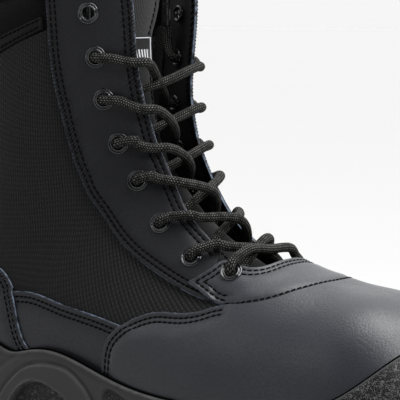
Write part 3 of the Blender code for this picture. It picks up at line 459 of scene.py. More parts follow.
def thicken(triangles, top, bottom):
    """A closed shell from one triangle layer."""
    count = len(top)
    edges = {(int(t[i]), int(t[(i + 1) % 3])) for t in triangles for i in range(3)}
    faces = [tuple(int(i) for i in t) for t in triangles]
    faces += [(t[2] + count, t[1] + count, t[0] + count) for t in faces]
    for a, b in edges:
        if (b, a) not in edges:
            faces += [(b, a, a + count, b + count)]
    return np.vstack([top, bottom]), faces


# ---------------------------------------------------------------- meshes
def make(name, points, faces, material, body="boot", replaces=(), slot=None, smooth=50, layers=None):
    """A finished piece that rides on a CAD body."""
    mesh = bpy.data.meshes.new(name)
    mesh.from_pydata(to_world(points).tolist(), [], [tuple(int(i) for i in f) for f in faces])
    mesh.validate()
    for key, values in (layers or {}).items():
        values = np.asarray(values, np.float32)
        kind, field = ("FLOAT_VECTOR", "vector") if values.ndim == 2 else ("FLOAT", "value")
        mesh.attributes.new(key, kind, "POINT").data.foreach_set(field, values.ravel())
    mesh.shade_smooth()
    if smooth < 180:
        mesh.set_sharp_from_angle(angle=math.radians(smooth))
    mesh.materials.append(material)
    obj = bpy.data.objects.new(name, mesh)
    bpy.context.scene.collection.objects.link(obj)
    return attach(obj, body, replaces, slot)


def attach(obj, body, replaces=(), slot=None):
    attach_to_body(obj, body)
    if replaces:
        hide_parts(*replaces)
    return obj


def lay(t, s):
    """Places on the surface as millimetres along and around it, for weaves."""
    t, s = np.asarray(t, float), np.asarray(s, float)
    row = STATION(t)
    reach = np.radians(np.minimum(row[..., 8], 180))
    half = 0.5 * (np.abs(row[..., 0] - row[..., 2]) / 2 + (row[..., 4] + row[..., 5]) / 2)
    return np.stack([s * reach * half, t * T_LENGTH * 0.82, np.zeros_like(t)], -1)


def grid_faces(rows, columns, closed=False):
    """Quads between the rows of a grid of points. Closed rows are rings."""
    faces = []
    for row in range(rows - 1):
        for i in range(columns if closed else columns - 1):
            a, b = row * columns + i, row * columns + (i + 1) % columns
            faces.append((a, b, b + columns, a + columns))
    return faces


def capsule(centre, ahead, up, length, radius):
    """A short rounded stitch."""
    side = np.cross(ahead, up)
    points = []
    for share, size in ((-0.5, 0.35), (-0.3, 1.0), (0.3, 1.0), (0.5, 0.35)):
        for i in range(5):
            turn = i * math.tau / 5 + 0.3
            out = side * math.cos(turn) + up * math.sin(turn)
            points.append(centre + ahead * share * length + radius * size * out)
    faces = [tuple(range(5)), tuple(range(19, 14, -1))]
    return points, faces + [(b, a, d, c) for a, b, c, d in grid_faces(4, 5, closed=True)]


def along_line(at, run, rows):
    """The rows of values read at a length along their line."""
    return np.stack([np.interp(at, run, column) for column in rows.T], -1)


def stitches(lines, pitch=2.95, length=2.35, radius=0.47, slant=0.12):
    """Stitches along lines of (points, normals), as one list of points and faces."""
    points, faces = [], []
    for line, ups in lines:
        run = run_length(line)
        count = int(run[-1] / pitch)
        for k in range(count):
            at = (k + 0.5) * run[-1] / count
            middle, up = along_line(at, run, line), along_line(at, run, ups)
            before, after = (along_line(at + d, run, line) for d in (-1, 1))
            ahead, up = unit(after - before), unit(up)
            up = unit(up - ahead * (up @ ahead))
            ahead = unit(ahead + slant * np.cross(up, ahead))
            new_points, new_faces = capsule(middle, ahead, up, length, radius)
            faces += [tuple(i + len(points) for i in f) for f in new_faces]
            points += new_points
    return points, faces


def crumple(points):
    """Soft unevenness of worn-in leather and cloth, the same for every layer, none near the sole."""
    points = np.asarray(points, float)
    coarse, fine = (np.array([noise.noise(Vector(p * rate)) for p in points]) for rate in (0.021, 0.055))
    values = coarse + 0.45 * fine
    flex = bell(points[:, 2] - 128 - (150 - points[:, 0]) * 0.10, 24)
    lines = np.sin((points[:, 2] * 0.9 + points[:, 0] * 0.55 + 3 * values) * 0.26)
    fade = ease(52, 80, points[:, 2])
    return fade * (0.38 * values + 0.20 * flex * lines * ease(60, 130, points[:, 0]))


RIM_STEPS = (0.22, 0.55, 1.0)  # rows of points along a rounded edge
EDGE_RADIUS = 1.0
ROW_DIP, ROW_WIDTH = 0.42, 0.62  # the groove that a sewn row pulls into a piece
STITCH_SUNK = 0.22
NO_LINE = 99.0


def panel(name, edges, inner, outer, material, holes=(), step=3.2, replaces=(), slot=None, body="boot",
          rows_inside=False, stitch=None, pitch=2.95):
    """A cut piece with rounded edges, sewn rows sunk into it and its stitches.

    edges are (points, row offsets, kind) in order around the piece. A cut edge is rounded, a flush one isn't.
    inner and outer are heights, as numbers or as functions of (t, s)."""

    def level(height, t, s):
        return np.broadcast_to(height(t, s) if callable(height) else height, t.shape)

    def nearest(points, lines):
        gaps = [line_distance(points, line) for line in lines]
        return np.min(gaps, axis=0) if gaps else np.full(len(points), NO_LINE)

    lines = [curve(points) for points, _, _ in edges]
    loop = np.vstack(lines)
    steps = place(*loop.T) - place(*np.roll(loop, -1, axis=0).T)
    loop = loop[np.linalg.norm(steps, axis=1) > 0.35]
    parts = []
    for a, b in zip(loop, np.roll(loop, -1, axis=0)):
        count = max(1, round(float(np.linalg.norm(place(*a) - place(*b))) / 2.2))
        parts += [a + (b - a) * i / count for i in range(count)]
    loop = np.array(parts)
    turn = 1 if signed_area(loop) > 0 else -1

    extra = [offset(loop, turn * d, closed=True) for d in RIM_STEPS]
    rows = []
    for line, (_, offsets, _) in zip(lines, edges):
        for d in offsets:
            row = offset(line, turn * d)
            row = row[inside(row, loop)]
            for other, (_, _, kind) in zip(lines, edges):
                clear = d * 0.8 if kind == "cut" else min(d * 0.8, 0.9)
                row = row[line_distance(place(*row.T), place(*other.T)) > clear]
            if len(row) > 4:
                rows.append(row)
                extra += [row, offset(row, 0.65), offset(row, -0.65)]
    extra = np.vstack(extra)
    extra = extra[within(extra, [loop, *holes])]
    extra = extra[line_distance(place(*extra.T), place(*loop.T), closed=True) > 0.15]
    flat, triangles = fill([loop, *holes], extra, step)
    t, s = flat.T
    solid = place(t, s)

    rim = nearest(solid, [place(*line.T) for line, (_, _, kind) in zip(lines, edges) if kind == "cut"])
    near_row = nearest(solid, [place(*row.T) for row in rows])
    low, high = level(inner, t, s), level(outer, t, s)
    soft = crumple(solid)
    rounded = EDGE_RADIUS - np.sqrt(np.maximum(EDGE_RADIUS**2 - (EDGE_RADIUS - rim) ** 2, 0))
    drop = np.where(rim < EDGE_RADIUS, rounded, 0)
    top_height = high - drop * 0.62 * (high - low) - ROW_DIP * bell(near_row, ROW_WIDTH) + soft
    top_height += 0.22 * ease(0.6, 1.4, near_row) * ease(8.5, 3, near_row)
    bottom_height = low + soft + 0.12 * drop
    top, bottom = (shell_point(t, s, h) for h in (top_height, bottom_height))
    points, faces = thicken(triangles, top, bottom)
    # edge is 1 on a cut edge's wall, where the leather paints its highlight.
    edge = np.clip(1 - rim / 0.30, 0, 1)
    layers = {
        "edge": np.concatenate([edge, edge]),
        # seam marks the sewn rows' grooves, where the leather paints shade.
        "seam": np.concatenate([bell(near_row, 0.5), np.zeros(len(t))]),
        "lay": np.vstack([lay(t, s)] * 2),
    }
    make(name, points, faces, material, body, replaces, slot, layers=layers)

    if stitch is not None and rows:
        sewn = []
        for row in rows:
            ts, ss = row.T
            where, n = place(ts, ss), normals(ts, wrap(ss))
            soft = crumple(where)
            sewn.append((where + n * (level(outer, ts, ss) + soft - STITCH_SUNK)[:, None], n))
            if rows_inside:
                sewn.append((where + n * (level(inner, ts, ss) + soft - 0.08)[:, None], -n))
        make("thread_" + name, *stitches(sewn, pitch), stitch, body, smooth=180)


def mirrored(points):
    return [(t, -s) for t, s in points]


def around_front(lateral):
    return list(lateral) + mirrored(lateral)[::-1]


def behind(lateral):
    """The line's mirror image, reached around the heel."""
    return [(t, -2 - s) for t, s in reversed(lateral)]


def around_back(lateral):
    return list(lateral) + behind(lateral)


def flush(*lines):
    """Edges without rows that aren't rounded."""
    return [(line, (), "flush") for line in lines]


# The narrow slit behind the heel, where the surface isn't closed yet
HEEL_SLIT = [(HEEL_T - 0.01, -1.02), (CLOSED_T, -1.01), (CLOSED_T, -0.99), (HEEL_T - 0.01, -0.98)]


def hole_loop(t, s, radius, sides=28):
    """A round hole on the surface, as (t, s) points."""
    per_t, per_s = slopes(np.array([t]), np.array([s]))
    _, _, along, around = frame_at(t, s)
    to_ts = np.linalg.pinv(np.stack([per_t[0], per_s[0]], -1))
    turns = np.arange(sides) * math.tau / sides
    rim = radius * (np.cos(turns)[:, None] * along + np.sin(turns)[:, None] * around)
    return (t, s) + rim @ to_ts.T


# ---------------------------------------------------------------- materials
class Nodes:
    """A node tree and the nodes added to it. Lengths given to its textures are millimetres of real size."""

    def __init__(self, tree):
        self.tree = tree

    def link(self, value, socket):
        if isinstance(value, bpy.types.NodeSocket):
            self.tree.links.new(value, socket)
        elif isinstance(value, tuple) and len(value) == 3 and socket.type == "RGBA":
            socket.default_value = (*value, 1)
        else:
            socket.default_value = value

    def node(self, kind, inputs=None, out=0, **props):
        made = self.tree.nodes.new("ShaderNode" + kind)
        for key, value in props.items():
            setattr(made, key, value)
        for key, value in (inputs or {}).items():
            self.link(value, made.inputs[key])
        return made.outputs[out]

    def math(self, operation, *values):
        return self.node("Math", dict(enumerate(values)), operation=operation)

    def times(self, a, b):
        return self.math("MULTIPLY", a, b)

    def plus(self, a, b):
        return self.math("ADD", a, b)

    def above(self, a, b):
        return self.math("GREATER_THAN", a, b)

    def odd(self, whole):
        """1 for odd whole numbers, 0 for even ones."""
        return self.above(self.math("FRACT", self.times(whole, 0.5)), 0.25)

    def wave(self, turns, rate=np.pi):
        return self.math("ABSOLUTE", self.math("SINE", self.times(turns, rate)))

    def coordinates(self):
        return self.node("TexCoord", out="Object")

    def attribute(self, name, out="Fac"):
        return self.node("Attribute", out=out, attribute_name=name)

    def noise(self, size, detail=2.0, vector=None, roughness=0.5):
        return self.node("TexNoise", {"Vector": vector or self.coordinates(), "Scale": 1000 / size,
                                      "Detail": detail, "Roughness": roughness})

    def cells(self, size, vector=None, feature="F1"):
        return self.node("TexVoronoi", {"Vector": vector or self.coordinates(), "Scale": 1000 / size},
                         feature=feature)

    def ramp(self, value, low, high, to_low=0.0, to_high=1.0):
        return self.node("MapRange", {"Value": value, "From Min": low, "From Max": high,
                                      "To Min": to_low, "To Max": to_high})

    def mix(self, factor, a, b):
        made = self.tree.nodes.new("ShaderNodeMix")
        made.data_type = "RGBA"
        for value, index in ((factor, 0), (a, 6), (b, 7)):
            self.link(value, made.inputs[index])
        return made.outputs[2]

    def bump(self, height, distance, strength=1.0, normal=None):
        inputs = {"Height": height, "Distance": distance * MM, "Strength": strength}
        if normal is not None:
            inputs["Normal"] = normal
        return self.node("Bump", inputs)

    def split(self, vector):
        made = self.tree.nodes.new("ShaderNodeSeparateXYZ")
        self.link(vector, made.inputs[0])
        return made.outputs[0], made.outputs[1], made.outputs[2]


class Shade(Nodes):
    """One material; put() sets or links the inputs of its shader."""

    def __init__(self, name, **values):
        self.mat = bpy.data.materials.new(name)
        self.mat.use_nodes = True
        super().__init__(self.mat.node_tree)
        self.shader = self.tree.nodes["Principled BSDF"]
        self.put(**values)
        self.mat.diffuse_color = (0.03, 0.03, 0.03, 1)

    def put(self, **values):
        for key, value in values.items():
            self.link(value, self.shader.inputs[key.replace("_", " ")])


def scaled(colour, factor):
    return tuple(factor * c for c in colour)


def leather(name, tone=1.0, rough=0.40, gloss=0.42):
    """Smooth finished leather: fine pores, faint creases, a painted pale bluish highlight on cut edges and
    painted shade along sewn rows.
    """
    m = Shade(name)
    broad, fine, grit = m.noise(28.0, 3.0), m.noise(1.6, 4.0), m.noise(0.8, 3.0, roughness=0.7)
    dark, light = scaled((0.0165, 0.0175, 0.0225), tone), scaled((0.0255, 0.0270, 0.0340), tone)
    base = m.mix(m.ramp(grit, 0.36, 0.66), scaled(dark, 0.72), m.mix(broad, dark, light))
    # Painted shade: the leather darkens towards black in the grooves of its sewn rows.
    base = m.mix(m.times(m.attribute("seam"), 0.5), base, (0.003, 0.003, 0.0035))
    # Painted highlight: the cut edges' walls get a pale bluish colour, broken up by noise.
    fibre = m.mix(m.noise(0.9, 3.0), (0.10, 0.13, 0.18), (0.24, 0.30, 0.40))
    edge = m.times(m.ramp(m.attribute("edge"), 0.45, 0.85), m.ramp(m.noise(3.5, 3.0), 0.36, 0.60))
    m.put(Base_Color=m.mix(edge, base, fibre))
    glaze = m.plus(m.ramp(broad, 0.3, 0.7, rough - 0.05, rough + 0.06), m.ramp(grit, 0.3, 0.7, 0.09, -0.07))
    m.put(Roughness=m.plus(glaze, m.times(edge, 0.2)))
    m.put(Specular_IOR_Level=m.ramp(m.attribute("seam"), 0.0, 1.0, gloss, 0.5 * gloss))
    pores = m.ramp(m.cells(1.15), 0.0, 0.55)
    creases = m.bump(m.noise(7.0, 4.0), 0.25, 0.32)
    grain = m.bump(pores, 0.07, 0.6, creases)
    m.put(Normal=m.bump(grit, 0.07, 0.7, m.bump(fine, 0.06, 0.5, grain)))
    return m.mat


def woven(name, colour, lift, pitch=1.0, thread=(1.0, 1.0), depth=0.16, sheen=0.15, shaded_below=None):
    """Plain weave of round threads, laid by the piece's own millimetre coordinates, with painted highlights
    on the thread crowns and painted shade below a height.
    """
    m = Shade(name)
    x, y, _ = m.split(m.attribute("lay", "Vector"))
    u, v = m.math("DIVIDE", x, pitch * thread[0]), m.math("DIVIDE", y, pitch * thread[1])
    wave_u, wave_v = m.wave(u), m.wave(v)
    over = m.odd(m.plus(m.math("FLOOR", u), m.math("FLOOR", v)))
    warp = m.times(wave_u, m.math("POWER", wave_v, 0.35))
    weft = m.times(wave_v, m.math("POWER", wave_u, 0.35))
    height = m.plus(m.times(over, warp), m.times(m.math("SUBTRACT", 1.0, over), m.times(weft, 0.72)))
    # Painted highlight: the thread crowns take the lighter lift colour, and the hollows keep the dark colour
    # as painted shade.
    bright = m.mix(m.noise(22.0, 3.0), lift, scaled(lift, 0.72))
    base = m.mix(m.ramp(height, 0.25, 0.95), colour, bright)
    # Painted shade: below this height the cloth is darker and plain, where the tongue sinks into the throat.
    if shaded_below is not None:
        base = m.mix(m.ramp(y, shaded_below - 4, shaded_below), scaled(colour, 0.6), base)
    fibre = m.noise(0.35, 3.0)
    m.put(Base_Color=m.mix(m.times(fibre, 0.35), base, scaled(colour, 0.5)))
    m.put(Roughness=m.ramp(fibre, 0.2, 0.8, 0.74, 0.90), Specular_IOR_Level=0.25)
    m.put(Sheen_Weight=sheen, Sheen_Roughness=0.5)
    m.put(Normal=m.bump(fibre, 0.04, 0.4, m.bump(height, depth, 0.9)))
    return m.mat


def knit(name, colour, lift, size, depth, sheen=0.25):
    """Brushed knitted textile that needs no coordinates of its own."""
    m = Shade(name)
    mesh = m.ramp(m.cells(size, feature="DISTANCE_TO_EDGE"), 0.02, 0.32)
    hair = m.noise(0.5, 5.0, roughness=0.7)
    tone = m.mix(m.noise(16.0, 3.0), colour, lift)
    # Painted shade: the knit's hollows along the cell borders are darkened to 0.4 of the colour.
    m.put(Base_Color=m.mix(mesh, scaled(colour, 0.4), tone))
    m.put(Roughness=m.ramp(hair, 0.2, 0.8, 0.82, 1.0), Specular_IOR_Level=0.2)
    m.put(Sheen_Weight=sheen, Sheen_Roughness=0.5)
    m.put(Normal=m.bump(hair, 0.08, 0.6, m.bump(mesh, depth, 0.8)))
    return m.mat


def braid(name):
    """Round braided cord: rows of slanted strands with pale flecks on their crowns, partly speckled yarn and
    partly painted highlight.
    """
    m = Shade(name)
    x, y, _ = m.split(m.attribute("lay", "Vector"))
    row = m.times(x, 12.0)
    within = m.math("FRACT", row)
    lean = m.math("SUBTRACT", m.times(m.odd(m.math("FLOOR", row)), 2.0), 1.0)
    strand = m.wave(m.plus(m.math("DIVIDE", y, 1.25), m.times(m.times(within, lean), 0.6)))
    crown = m.wave(within)
    height = m.times(m.math("POWER", crown, 0.5), m.plus(0.15, m.times(strand, 0.85)))
    # The pale flecks sit on the strands' crowns only: speckled yarn and a painted highlight together.
    fleck_and_highlight = m.times(m.ramp(strand, 0.62, 0.88), m.ramp(crown, 0.45, 0.8))
    fleck_and_highlight = m.times(fleck_and_highlight, m.ramp(m.noise(2.6, 3.0), 0.36, 0.56, 0.25, 1.0))
    m.put(Base_Color=m.mix(fleck_and_highlight, (0.0035, 0.0035, 0.0034), (0.150, 0.148, 0.139)))
    m.put(Roughness=0.8, Specular_IOR_Level=0.15)
    m.put(Normal=m.bump(m.noise(0.3, 3.0), 0.03, 0.4, m.bump(height, 0.45, 1.0)))
    return m.mat


def plain(name, size, dark, light, rough, bump, specular):
    """One fine noise in colour, roughness and relief: thread, plastic."""
    m = Shade(name, Specular_IOR_Level=specular)
    fine = m.noise(size, 3.0)
    m.put(Base_Color=m.mix(fine, dark, light))
    m.put(Roughness=m.ramp(fine, *rough), Normal=m.bump(fine, *bump))
    return m.mat


def enamel(name):
    """Gloss-black painted metal, rubbed a little on its rim."""
    m = Shade(name, Metallic=0.5, Specular_IOR_Level=0.7, Coat_Weight=1.0, Coat_Roughness=0.04)
    wear = m.ramp(m.noise(1.8, 4.0), 0.52, 0.75)
    m.put(Base_Color=m.mix(wear, (0.020, 0.021, 0.024), (0.050, 0.053, 0.058)))
    m.put(Roughness=m.ramp(m.noise(3.0, 3.0), 0.3, 0.7, 0.08, 0.18))
    m.put(Normal=m.bump(m.noise(1.2, 2.0), 0.02, 0.3))
    return m.mat


def rubber(name):
    """Moulded rubber, smooth on its bands and pebbled where the piece says so, with painted highlights on its
    lips and pebble tops, painted shade in the pebbles' pits and a painted black shadow in the gap under the
    leather.
    """
    m = Shade(name)
    pebble, gap_shadow = m.attribute("pebble"), m.attribute("gap_shadow")
    coarse = m.node("TexNoise", {"Vector": m.coordinates(), "Scale": 900.0, "Detail": 1.0, "Distortion": 1.5})
    coarse = m.ramp(coarse, 0.48, 0.60)
    fine, blotch = m.noise(0.7, 4.0), m.noise(30.0, 3.0)
    base = m.mix(blotch, (0.036, 0.036, 0.0375), (0.046, 0.046, 0.0478))
    # Painted highlight and painted shade: the pebbling's raised tops are painted pale and its pits near
    # black.
    grit = m.mix(coarse, (0.0015, 0.0015, 0.0016), (0.100, 0.100, 0.103))
    # Painted highlight: the lip mask lightens the top lip and the arch bands' rims.
    lip_highlight = m.times(m.attribute("lip"), m.ramp(m.noise(4.0, 3.0), 0.36, 0.62, 0.25, 1.0))
    lit = m.mix(lip_highlight, base, (0.125, 0.122, 0.115))
    # Painted shadow: this mask paints the gap between sole and leather black.
    m.put(Base_Color=m.mix(gap_shadow, m.mix(pebble, lit, grit), (0.002, 0.002, 0.002)))
    m.put(Roughness=m.plus(m.ramp(blotch, 0.3, 0.7, 0.46, 0.58), m.ramp(fine, 0.3, 0.7, -0.04, 0.04)))
    m.put(Specular_IOR_Level=m.math("SUBTRACT", 0.42, m.times(gap_shadow, 0.42)))
    relief = m.bump(m.times(pebble, coarse), 1.5, 1.0)
    m.put(Normal=m.bump(fine, 0.04, 0.5, relief))
    return m.mat


def steel(name, colour):
    """Rolled steel with faint brushing and a little staining."""
    m = Shade(name, Metallic=1.0)
    stretched = m.node("Mapping", {"Vector": m.coordinates(), "Scale": (40.0, 900.0, 300.0)})
    lines = m.node("TexNoise", {"Vector": stretched, "Scale": 1.0, "Detail": 4.0})
    stain = m.noise(14.0, 4.0)
    m.put(Base_Color=m.mix(m.ramp(stain, 0.45, 0.8), colour, scaled(colour, 0.55)))
    m.put(Roughness=m.ramp(lines, 0.2, 0.8, 0.24, 0.46), Normal=m.bump(lines, 0.02, 0.5))
    return m.mat


def board(name, light, dark):
    """Pressed fibre board or dense foam."""
    m = Shade(name, Specular_IOR_Level=0.2)
    specks, fibres = m.noise(1.1, 5.0, roughness=0.75), m.cells(0.9)
    m.put(Base_Color=m.mix(m.ramp(specks, 0.35, 0.68), dark, light))
    m.put(Roughness=m.ramp(specks, 0.3, 0.7, 0.8, 0.96))
    m.put(Normal=m.bump(fibres, 0.10, 0.6, m.bump(specks, 0.08, 0.6)))
    return m.mat


def label_cloth(name):
    """A woven label: pale frame, dark field and a plain row of pale bars. "lay" runs 0 to 1 both ways."""
    m = Shade(name, Specular_IOR_Level=0.2)
    x, y, _ = m.split(m.attribute("lay", "Vector"))
    from_side = m.math("MINIMUM", x, m.math("SUBTRACT", 1.0, x))
    from_end = m.math("MINIMUM", y, m.math("SUBTRACT", 1.0, y))
    from_edge = m.math("MINIMUM", from_side, from_end)
    border = m.times(m.above(from_edge, 0.045), m.above(0.085, from_edge))
    bar = m.above(m.math("FRACT", m.times(x, 11.0)), 0.5)
    band = m.times(m.above(y, 0.16), m.above(0.50, y))
    pale = m.math("MAXIMUM", border, m.times(m.times(bar, band), m.above(from_side, 0.13)))
    rib = m.wave(y, 90.0)
    # Painted highlight and painted shade: the ribs' crowns are painted lighter and their hollows darker.
    ink = m.mix(rib, (0.003, 0.003, 0.0035), (0.008, 0.008, 0.009))
    m.put(Base_Color=m.mix(pale, ink, m.mix(rib, (0.48, 0.49, 0.52), (0.78, 0.79, 0.82))))
    m.put(Roughness=0.7, Sheen_Weight=0.15)
    m.put(Normal=m.bump(m.plus(rib, m.times(pale, 0.8)), 0.12, 0.8))
    return m.mat


# One black leather in three tones: the upward-facing toe pieces are painted lighter as painted light, the
# eyestays darker as painted shade.
M_LEATHER = leather("leather", 1.2)
M_TOE_LEATHER_PAINTED_LIGHT = leather("leather_toe_painted_light", 1.6, 0.41, 0.56)
M_STAY_PAINTED_SHADE = leather("leather_stay_painted_shade", 0.52, 0.50, 0.34)
M_NYLON = woven("ballistic_nylon", (0.0012, 0.0012, 0.0013), (0.046, 0.046, 0.048), 1.15,
                depth=0.32, sheen=0.04)
M_TWILL = woven("binding_twill", (0.002, 0.002, 0.0022), (0.014, 0.014, 0.015), 0.8, (1.0, 0.55), sheen=0.05)
M_TONGUE = woven("tongue_textile", (0.003, 0.003, 0.003), (0.046, 0.046, 0.047), 1.25, (1.0, 0.8),
                 depth=0.2, shaded_below=LABEL_T[0] * TONGUE_LAY)
M_COLLAR = knit("collar_textile", (0.002, 0.002, 0.0022), (0.0045, 0.0045, 0.0048), 1.3, depth=0.15,
                sheen=0.03)
M_LINING = knit("lining_knit", (0.010, 0.010, 0.011), (0.020, 0.020, 0.022), 2.1, depth=0.3)
M_FOOTBED = knit("footbed_cover", (0.014, 0.014, 0.015), (0.030, 0.030, 0.032), 1.5, depth=0.25)
M_LACE = braid("lace_braid")
M_THREAD = plain("thread_black", 0.5, (0.0010, 0.0010, 0.0011), (0.0040, 0.0040, 0.0045),
                 (0.2, 0.8, 0.75, 0.95), (0.06, 0.6), 0.08)
M_ENAMEL = enamel("eyelet_enamel")
M_RUBBER = rubber("sole_rubber")
M_AGLET = plain("aglet_plastic", 1.0, (0.010, 0.010, 0.011), (0.020, 0.020, 0.022),
                (0.3, 0.7, 0.22, 0.36), (0.03, 0.4), 0.5)
M_LABEL = label_cloth("label_weave")


# ---------------------------------------------------------------- the upper's pieces
COVERED = []  # outlines of the leather that overlays lie on, on the lateral side
# How far the sewn rows lie inside a cut edge
DOUBLE_ROW, STAY_ROWS, SADDLE_ROWS, THROAT_ROWS = (2.6, 5.0), (2.5, 5.0), (2.3, 4.6), (2.4, 4.9)
BACKSTAY_ROW, TAPE_ROW, TOE_SEAM_ROW = (2.2,), (1.3,), (0.9,)
STAY_LEVELS = (CLOTH_OUT + 0.1, LEATHER_OUT)


def leather_panel(part, edges, inner, outer, node, material=M_LEATHER, **more):
    """A sewn leather piece over its CAD node."""
    panel("leather_" + part, edges, inner, outer, material, replaces=[node], slot="black_leather",
          stitch=M_THREAD, **more)


def leather_below(t, s):
    """From 0 to 1, how far the leather under an overlay reaches here."""
    points = np.stack([t, -np.abs(wrap(s))], -1)
    solid = surface(*points.T)
    share = np.zeros(len(points))
    for outline in COVERED:
        gap = line_distance(solid, surface(*outline.T), closed=True)
        gap = np.where(inside(points, outline), gap, -gap)
        share = np.maximum(share, ease(-2.4, 0.8, gap))
    return share


def settled(edge):
    """Heights of an overlay that comes down onto the cloth, or the leather on it, towards its sewn edge."""
    line = place(*curve(edge).T)
    lines = [line, line * (1, -1, 1)]

    def share_down(t, s):
        gap = np.min([line_distance(place(t, s), each) for each in lines], axis=0)
        return ease(13, 1, gap)

    def inner(t, s):
        rest = CLOTH_OUT + 0.1 + (LEATHER_OUT - CLOTH_OUT) * leather_below(t, s)
        return OVERLAY_IN + (rest - OVERLAY_IN) * share_down(t, s)

    def outer(t, s):
        return inner(t, s) + (OVERLAY_OUT - OVERLAY_IN)

    return inner, outer


def upper():
    stay = [(EYESTAY_FRONT, STAY_ROWS, "cut"), (EYESTAY_REAR, STAY_ROWS, "cut")]
    foxing = [(FOXING_TOP, DOUBLE_ROW, "cut"), *flush(FOXING_BOTTOM)]
    COVERED.extend([np.vstack([curve(p) for p, _, _ in edges]) for edges in (stay, foxing)])
    for side, sign in (("lateral", 1), ("medial", -1)):
        flip = lambda edges: [([(t, sign * s) for t, s in p], r, k) for p, r, k in edges]
        holes = [hole_loop(t, sign * s, EYELET_HOLE_R) for t, s in EYELETS[1:]]
        leather_panel(f"eyestay_{side}", flip(stay), *STAY_LEVELS, f"eyestay_{side}", M_STAY_PAINTED_SHADE, holes=holes,
                      rows_inside=True)
        leather_panel(f"foxing_{side}", flip(foxing), *STAY_LEVELS, f"foxing_{side}")
        low = [QUARTER_BACK[-1]] + QUARTER_BOTTOM
        cloth = flush(QUARTER_FRONT, QUARTER_BACK[:3], QUARTER_BACK[2:], low)
        panel(f"nylon_quarter_{side}", flip(cloth), 0.0, CLOTH_OUT, M_NYLON, step=4.0,
              replaces=[f"quarter_{side}"], slot="ballistic_nylon")

    seam_line = around_front(SADDLE_BOTTOM[::-1])
    rear_edge = [SADDLE_BOTTOM[-1]] + SADDLE_REAR + [SADDLE_TOP[0]]
    saddle = [(rear_edge, SADDLE_ROWS, "cut"), (around_front(SADDLE_TOP), THROAT_ROWS, "cut"),
              (mirrored(rear_edge)[::-1], SADDLE_ROWS, "cut"), (seam_line[::-1], TOE_SEAM_ROW, "flush")]
    t, s = EYELETS[0]
    holes = [hole_loop(t, side * s, EYELET_HOLE_R) for side in (1, -1)]
    leather_panel("saddle", saddle, *settled(rear_edge), "throat_saddle", M_TOE_LEATHER_PAINTED_LIGHT, holes=holes)

    join = [(t - 0.0012, s) for t, s in seam_line]
    wing = [join[0]] + WING_EDGE
    tip = [(VAMP_TIP_T, s) for s in (-SOLE_S, -0.6, -0.2, 0.2, 0.6, SOLE_S)]
    vamp = [(wing[::-1], DOUBLE_ROW, "cut"), *flush(join), (mirrored(wing), DOUBLE_ROW, "cut"),
            *flush(tip[::-1])]
    leather_panel("vamp", vamp, *settled(WING_EDGE), "vamp", M_TOE_LEATHER_PAINTED_LIGHT, step=4.0)

    slit = flush(*zip(HEEL_SLIT, HEEL_SLIT[1:]))
    counter = [(around_back(COUNTER_EDGE), DOUBLE_ROW, "cut")] + slit
    leather_panel("counter", counter, *settled(COUNTER_EDGE), "heel_counter", step=4.0)

    strip = BACKSTAY_EDGE
    other = behind(strip)
    backstay = [(strip, BACKSTAY_ROW, "cut"), *flush([strip[-1], other[0]]),
                (other, BACKSTAY_ROW, "cut"), *flush([other[-1], strip[0]])]
    leather_panel("backstay", backstay, CLOTH_OUT + 0.15, LEATHER_OUT + 0.6, "backstay")

    front, far = COLLAR_ENDS
    low, high = BINDING
    band = [([(high, front), (high, -1.0), (high, far)], TAPE_ROW, "cut"), *flush([(high, far), (low, far)]),
            ([(low, far), (low, -1.0), (low, front)], TAPE_ROW, "cut"), *flush([(low, front), (high, front)])]
    panel("collar_binding_tape", band, 0.0, 1.6, M_TWILL, step=2.4, replaces=["collar_binding"],
          slot="padded_textile", stitch=M_THREAD, pitch=3.0)

    tip = [(VAMP_TIP_T + 0.008, s) for s in (0.98, 0.6, 0.2, -0.2, -0.6, -0.98)]
    edges = flush(tip, around_front(LINING_THROAT))
    panel("lining_front", edges, *LINING, M_LINING, step=6.0, replaces=["lining_vamp"], slot="lining_mesh")
    front, other = LINING_FRONT, behind(LINING_FRONT)
    edges = flush(front, [front[-1], (0.925, -1.0), other[0]], other)
    panel("lining_back", edges + slit, *LINING, M_LINING, step=5.0, replaces=["lining_quarter"],
          slot="lining_mesh")


# ---------------------------------------------------------------- eyelets and lace
EYELET_SECTION = [  # radius, height over the leather's outer face
    (2.95, -3.4), (2.92, -0.6), (2.95, 0.35), (3.06, 0.74), (3.30, 0.96), (3.58, 0.98), (3.84, 0.76),
    (4.02, 0.40), (4.20, 0.34), (4.38, 0.52), (4.62, 0.70), (4.88, 0.68), (5.12, 0.46), (5.28, 0.14),
    (5.22, -0.06), (3.50, -0.04), (3.42, -2.7), (4.25, -2.8), (4.30, -3.25), (3.60, -3.45),
]


def eyelets():
    for side, sign in (("lateral", 1), ("medial", -1)):
        for i, (t, s) in enumerate(EYELETS):
            centre, n, along, around = frame_at(t, sign * s)
            base = (OVERLAY_OUT if i == 0 else LEATHER_OUT) + GAP * 0.5 + crumple([centre])[0]
            points, sides, rows = [], 32, len(EYELET_SECTION)
            for k in range(sides):
                turn = k * math.tau / sides
                out = along * math.cos(turn) + around * math.sin(turn)
                points += [centre + out * r + n * (base + h) for r, h in EYELET_SECTION]
            quads = grid_faces(sides + 1, rows, closed=True)
            faces = [tuple(k % len(points) for k in quad) for quad in quads]
            make(f"ring_{side}_{i + 1}", points, faces, M_ENAMEL, replaces=[f"eyelet_{side}_{i + 1}"],
                 slot="eyelet_black", smooth=180)


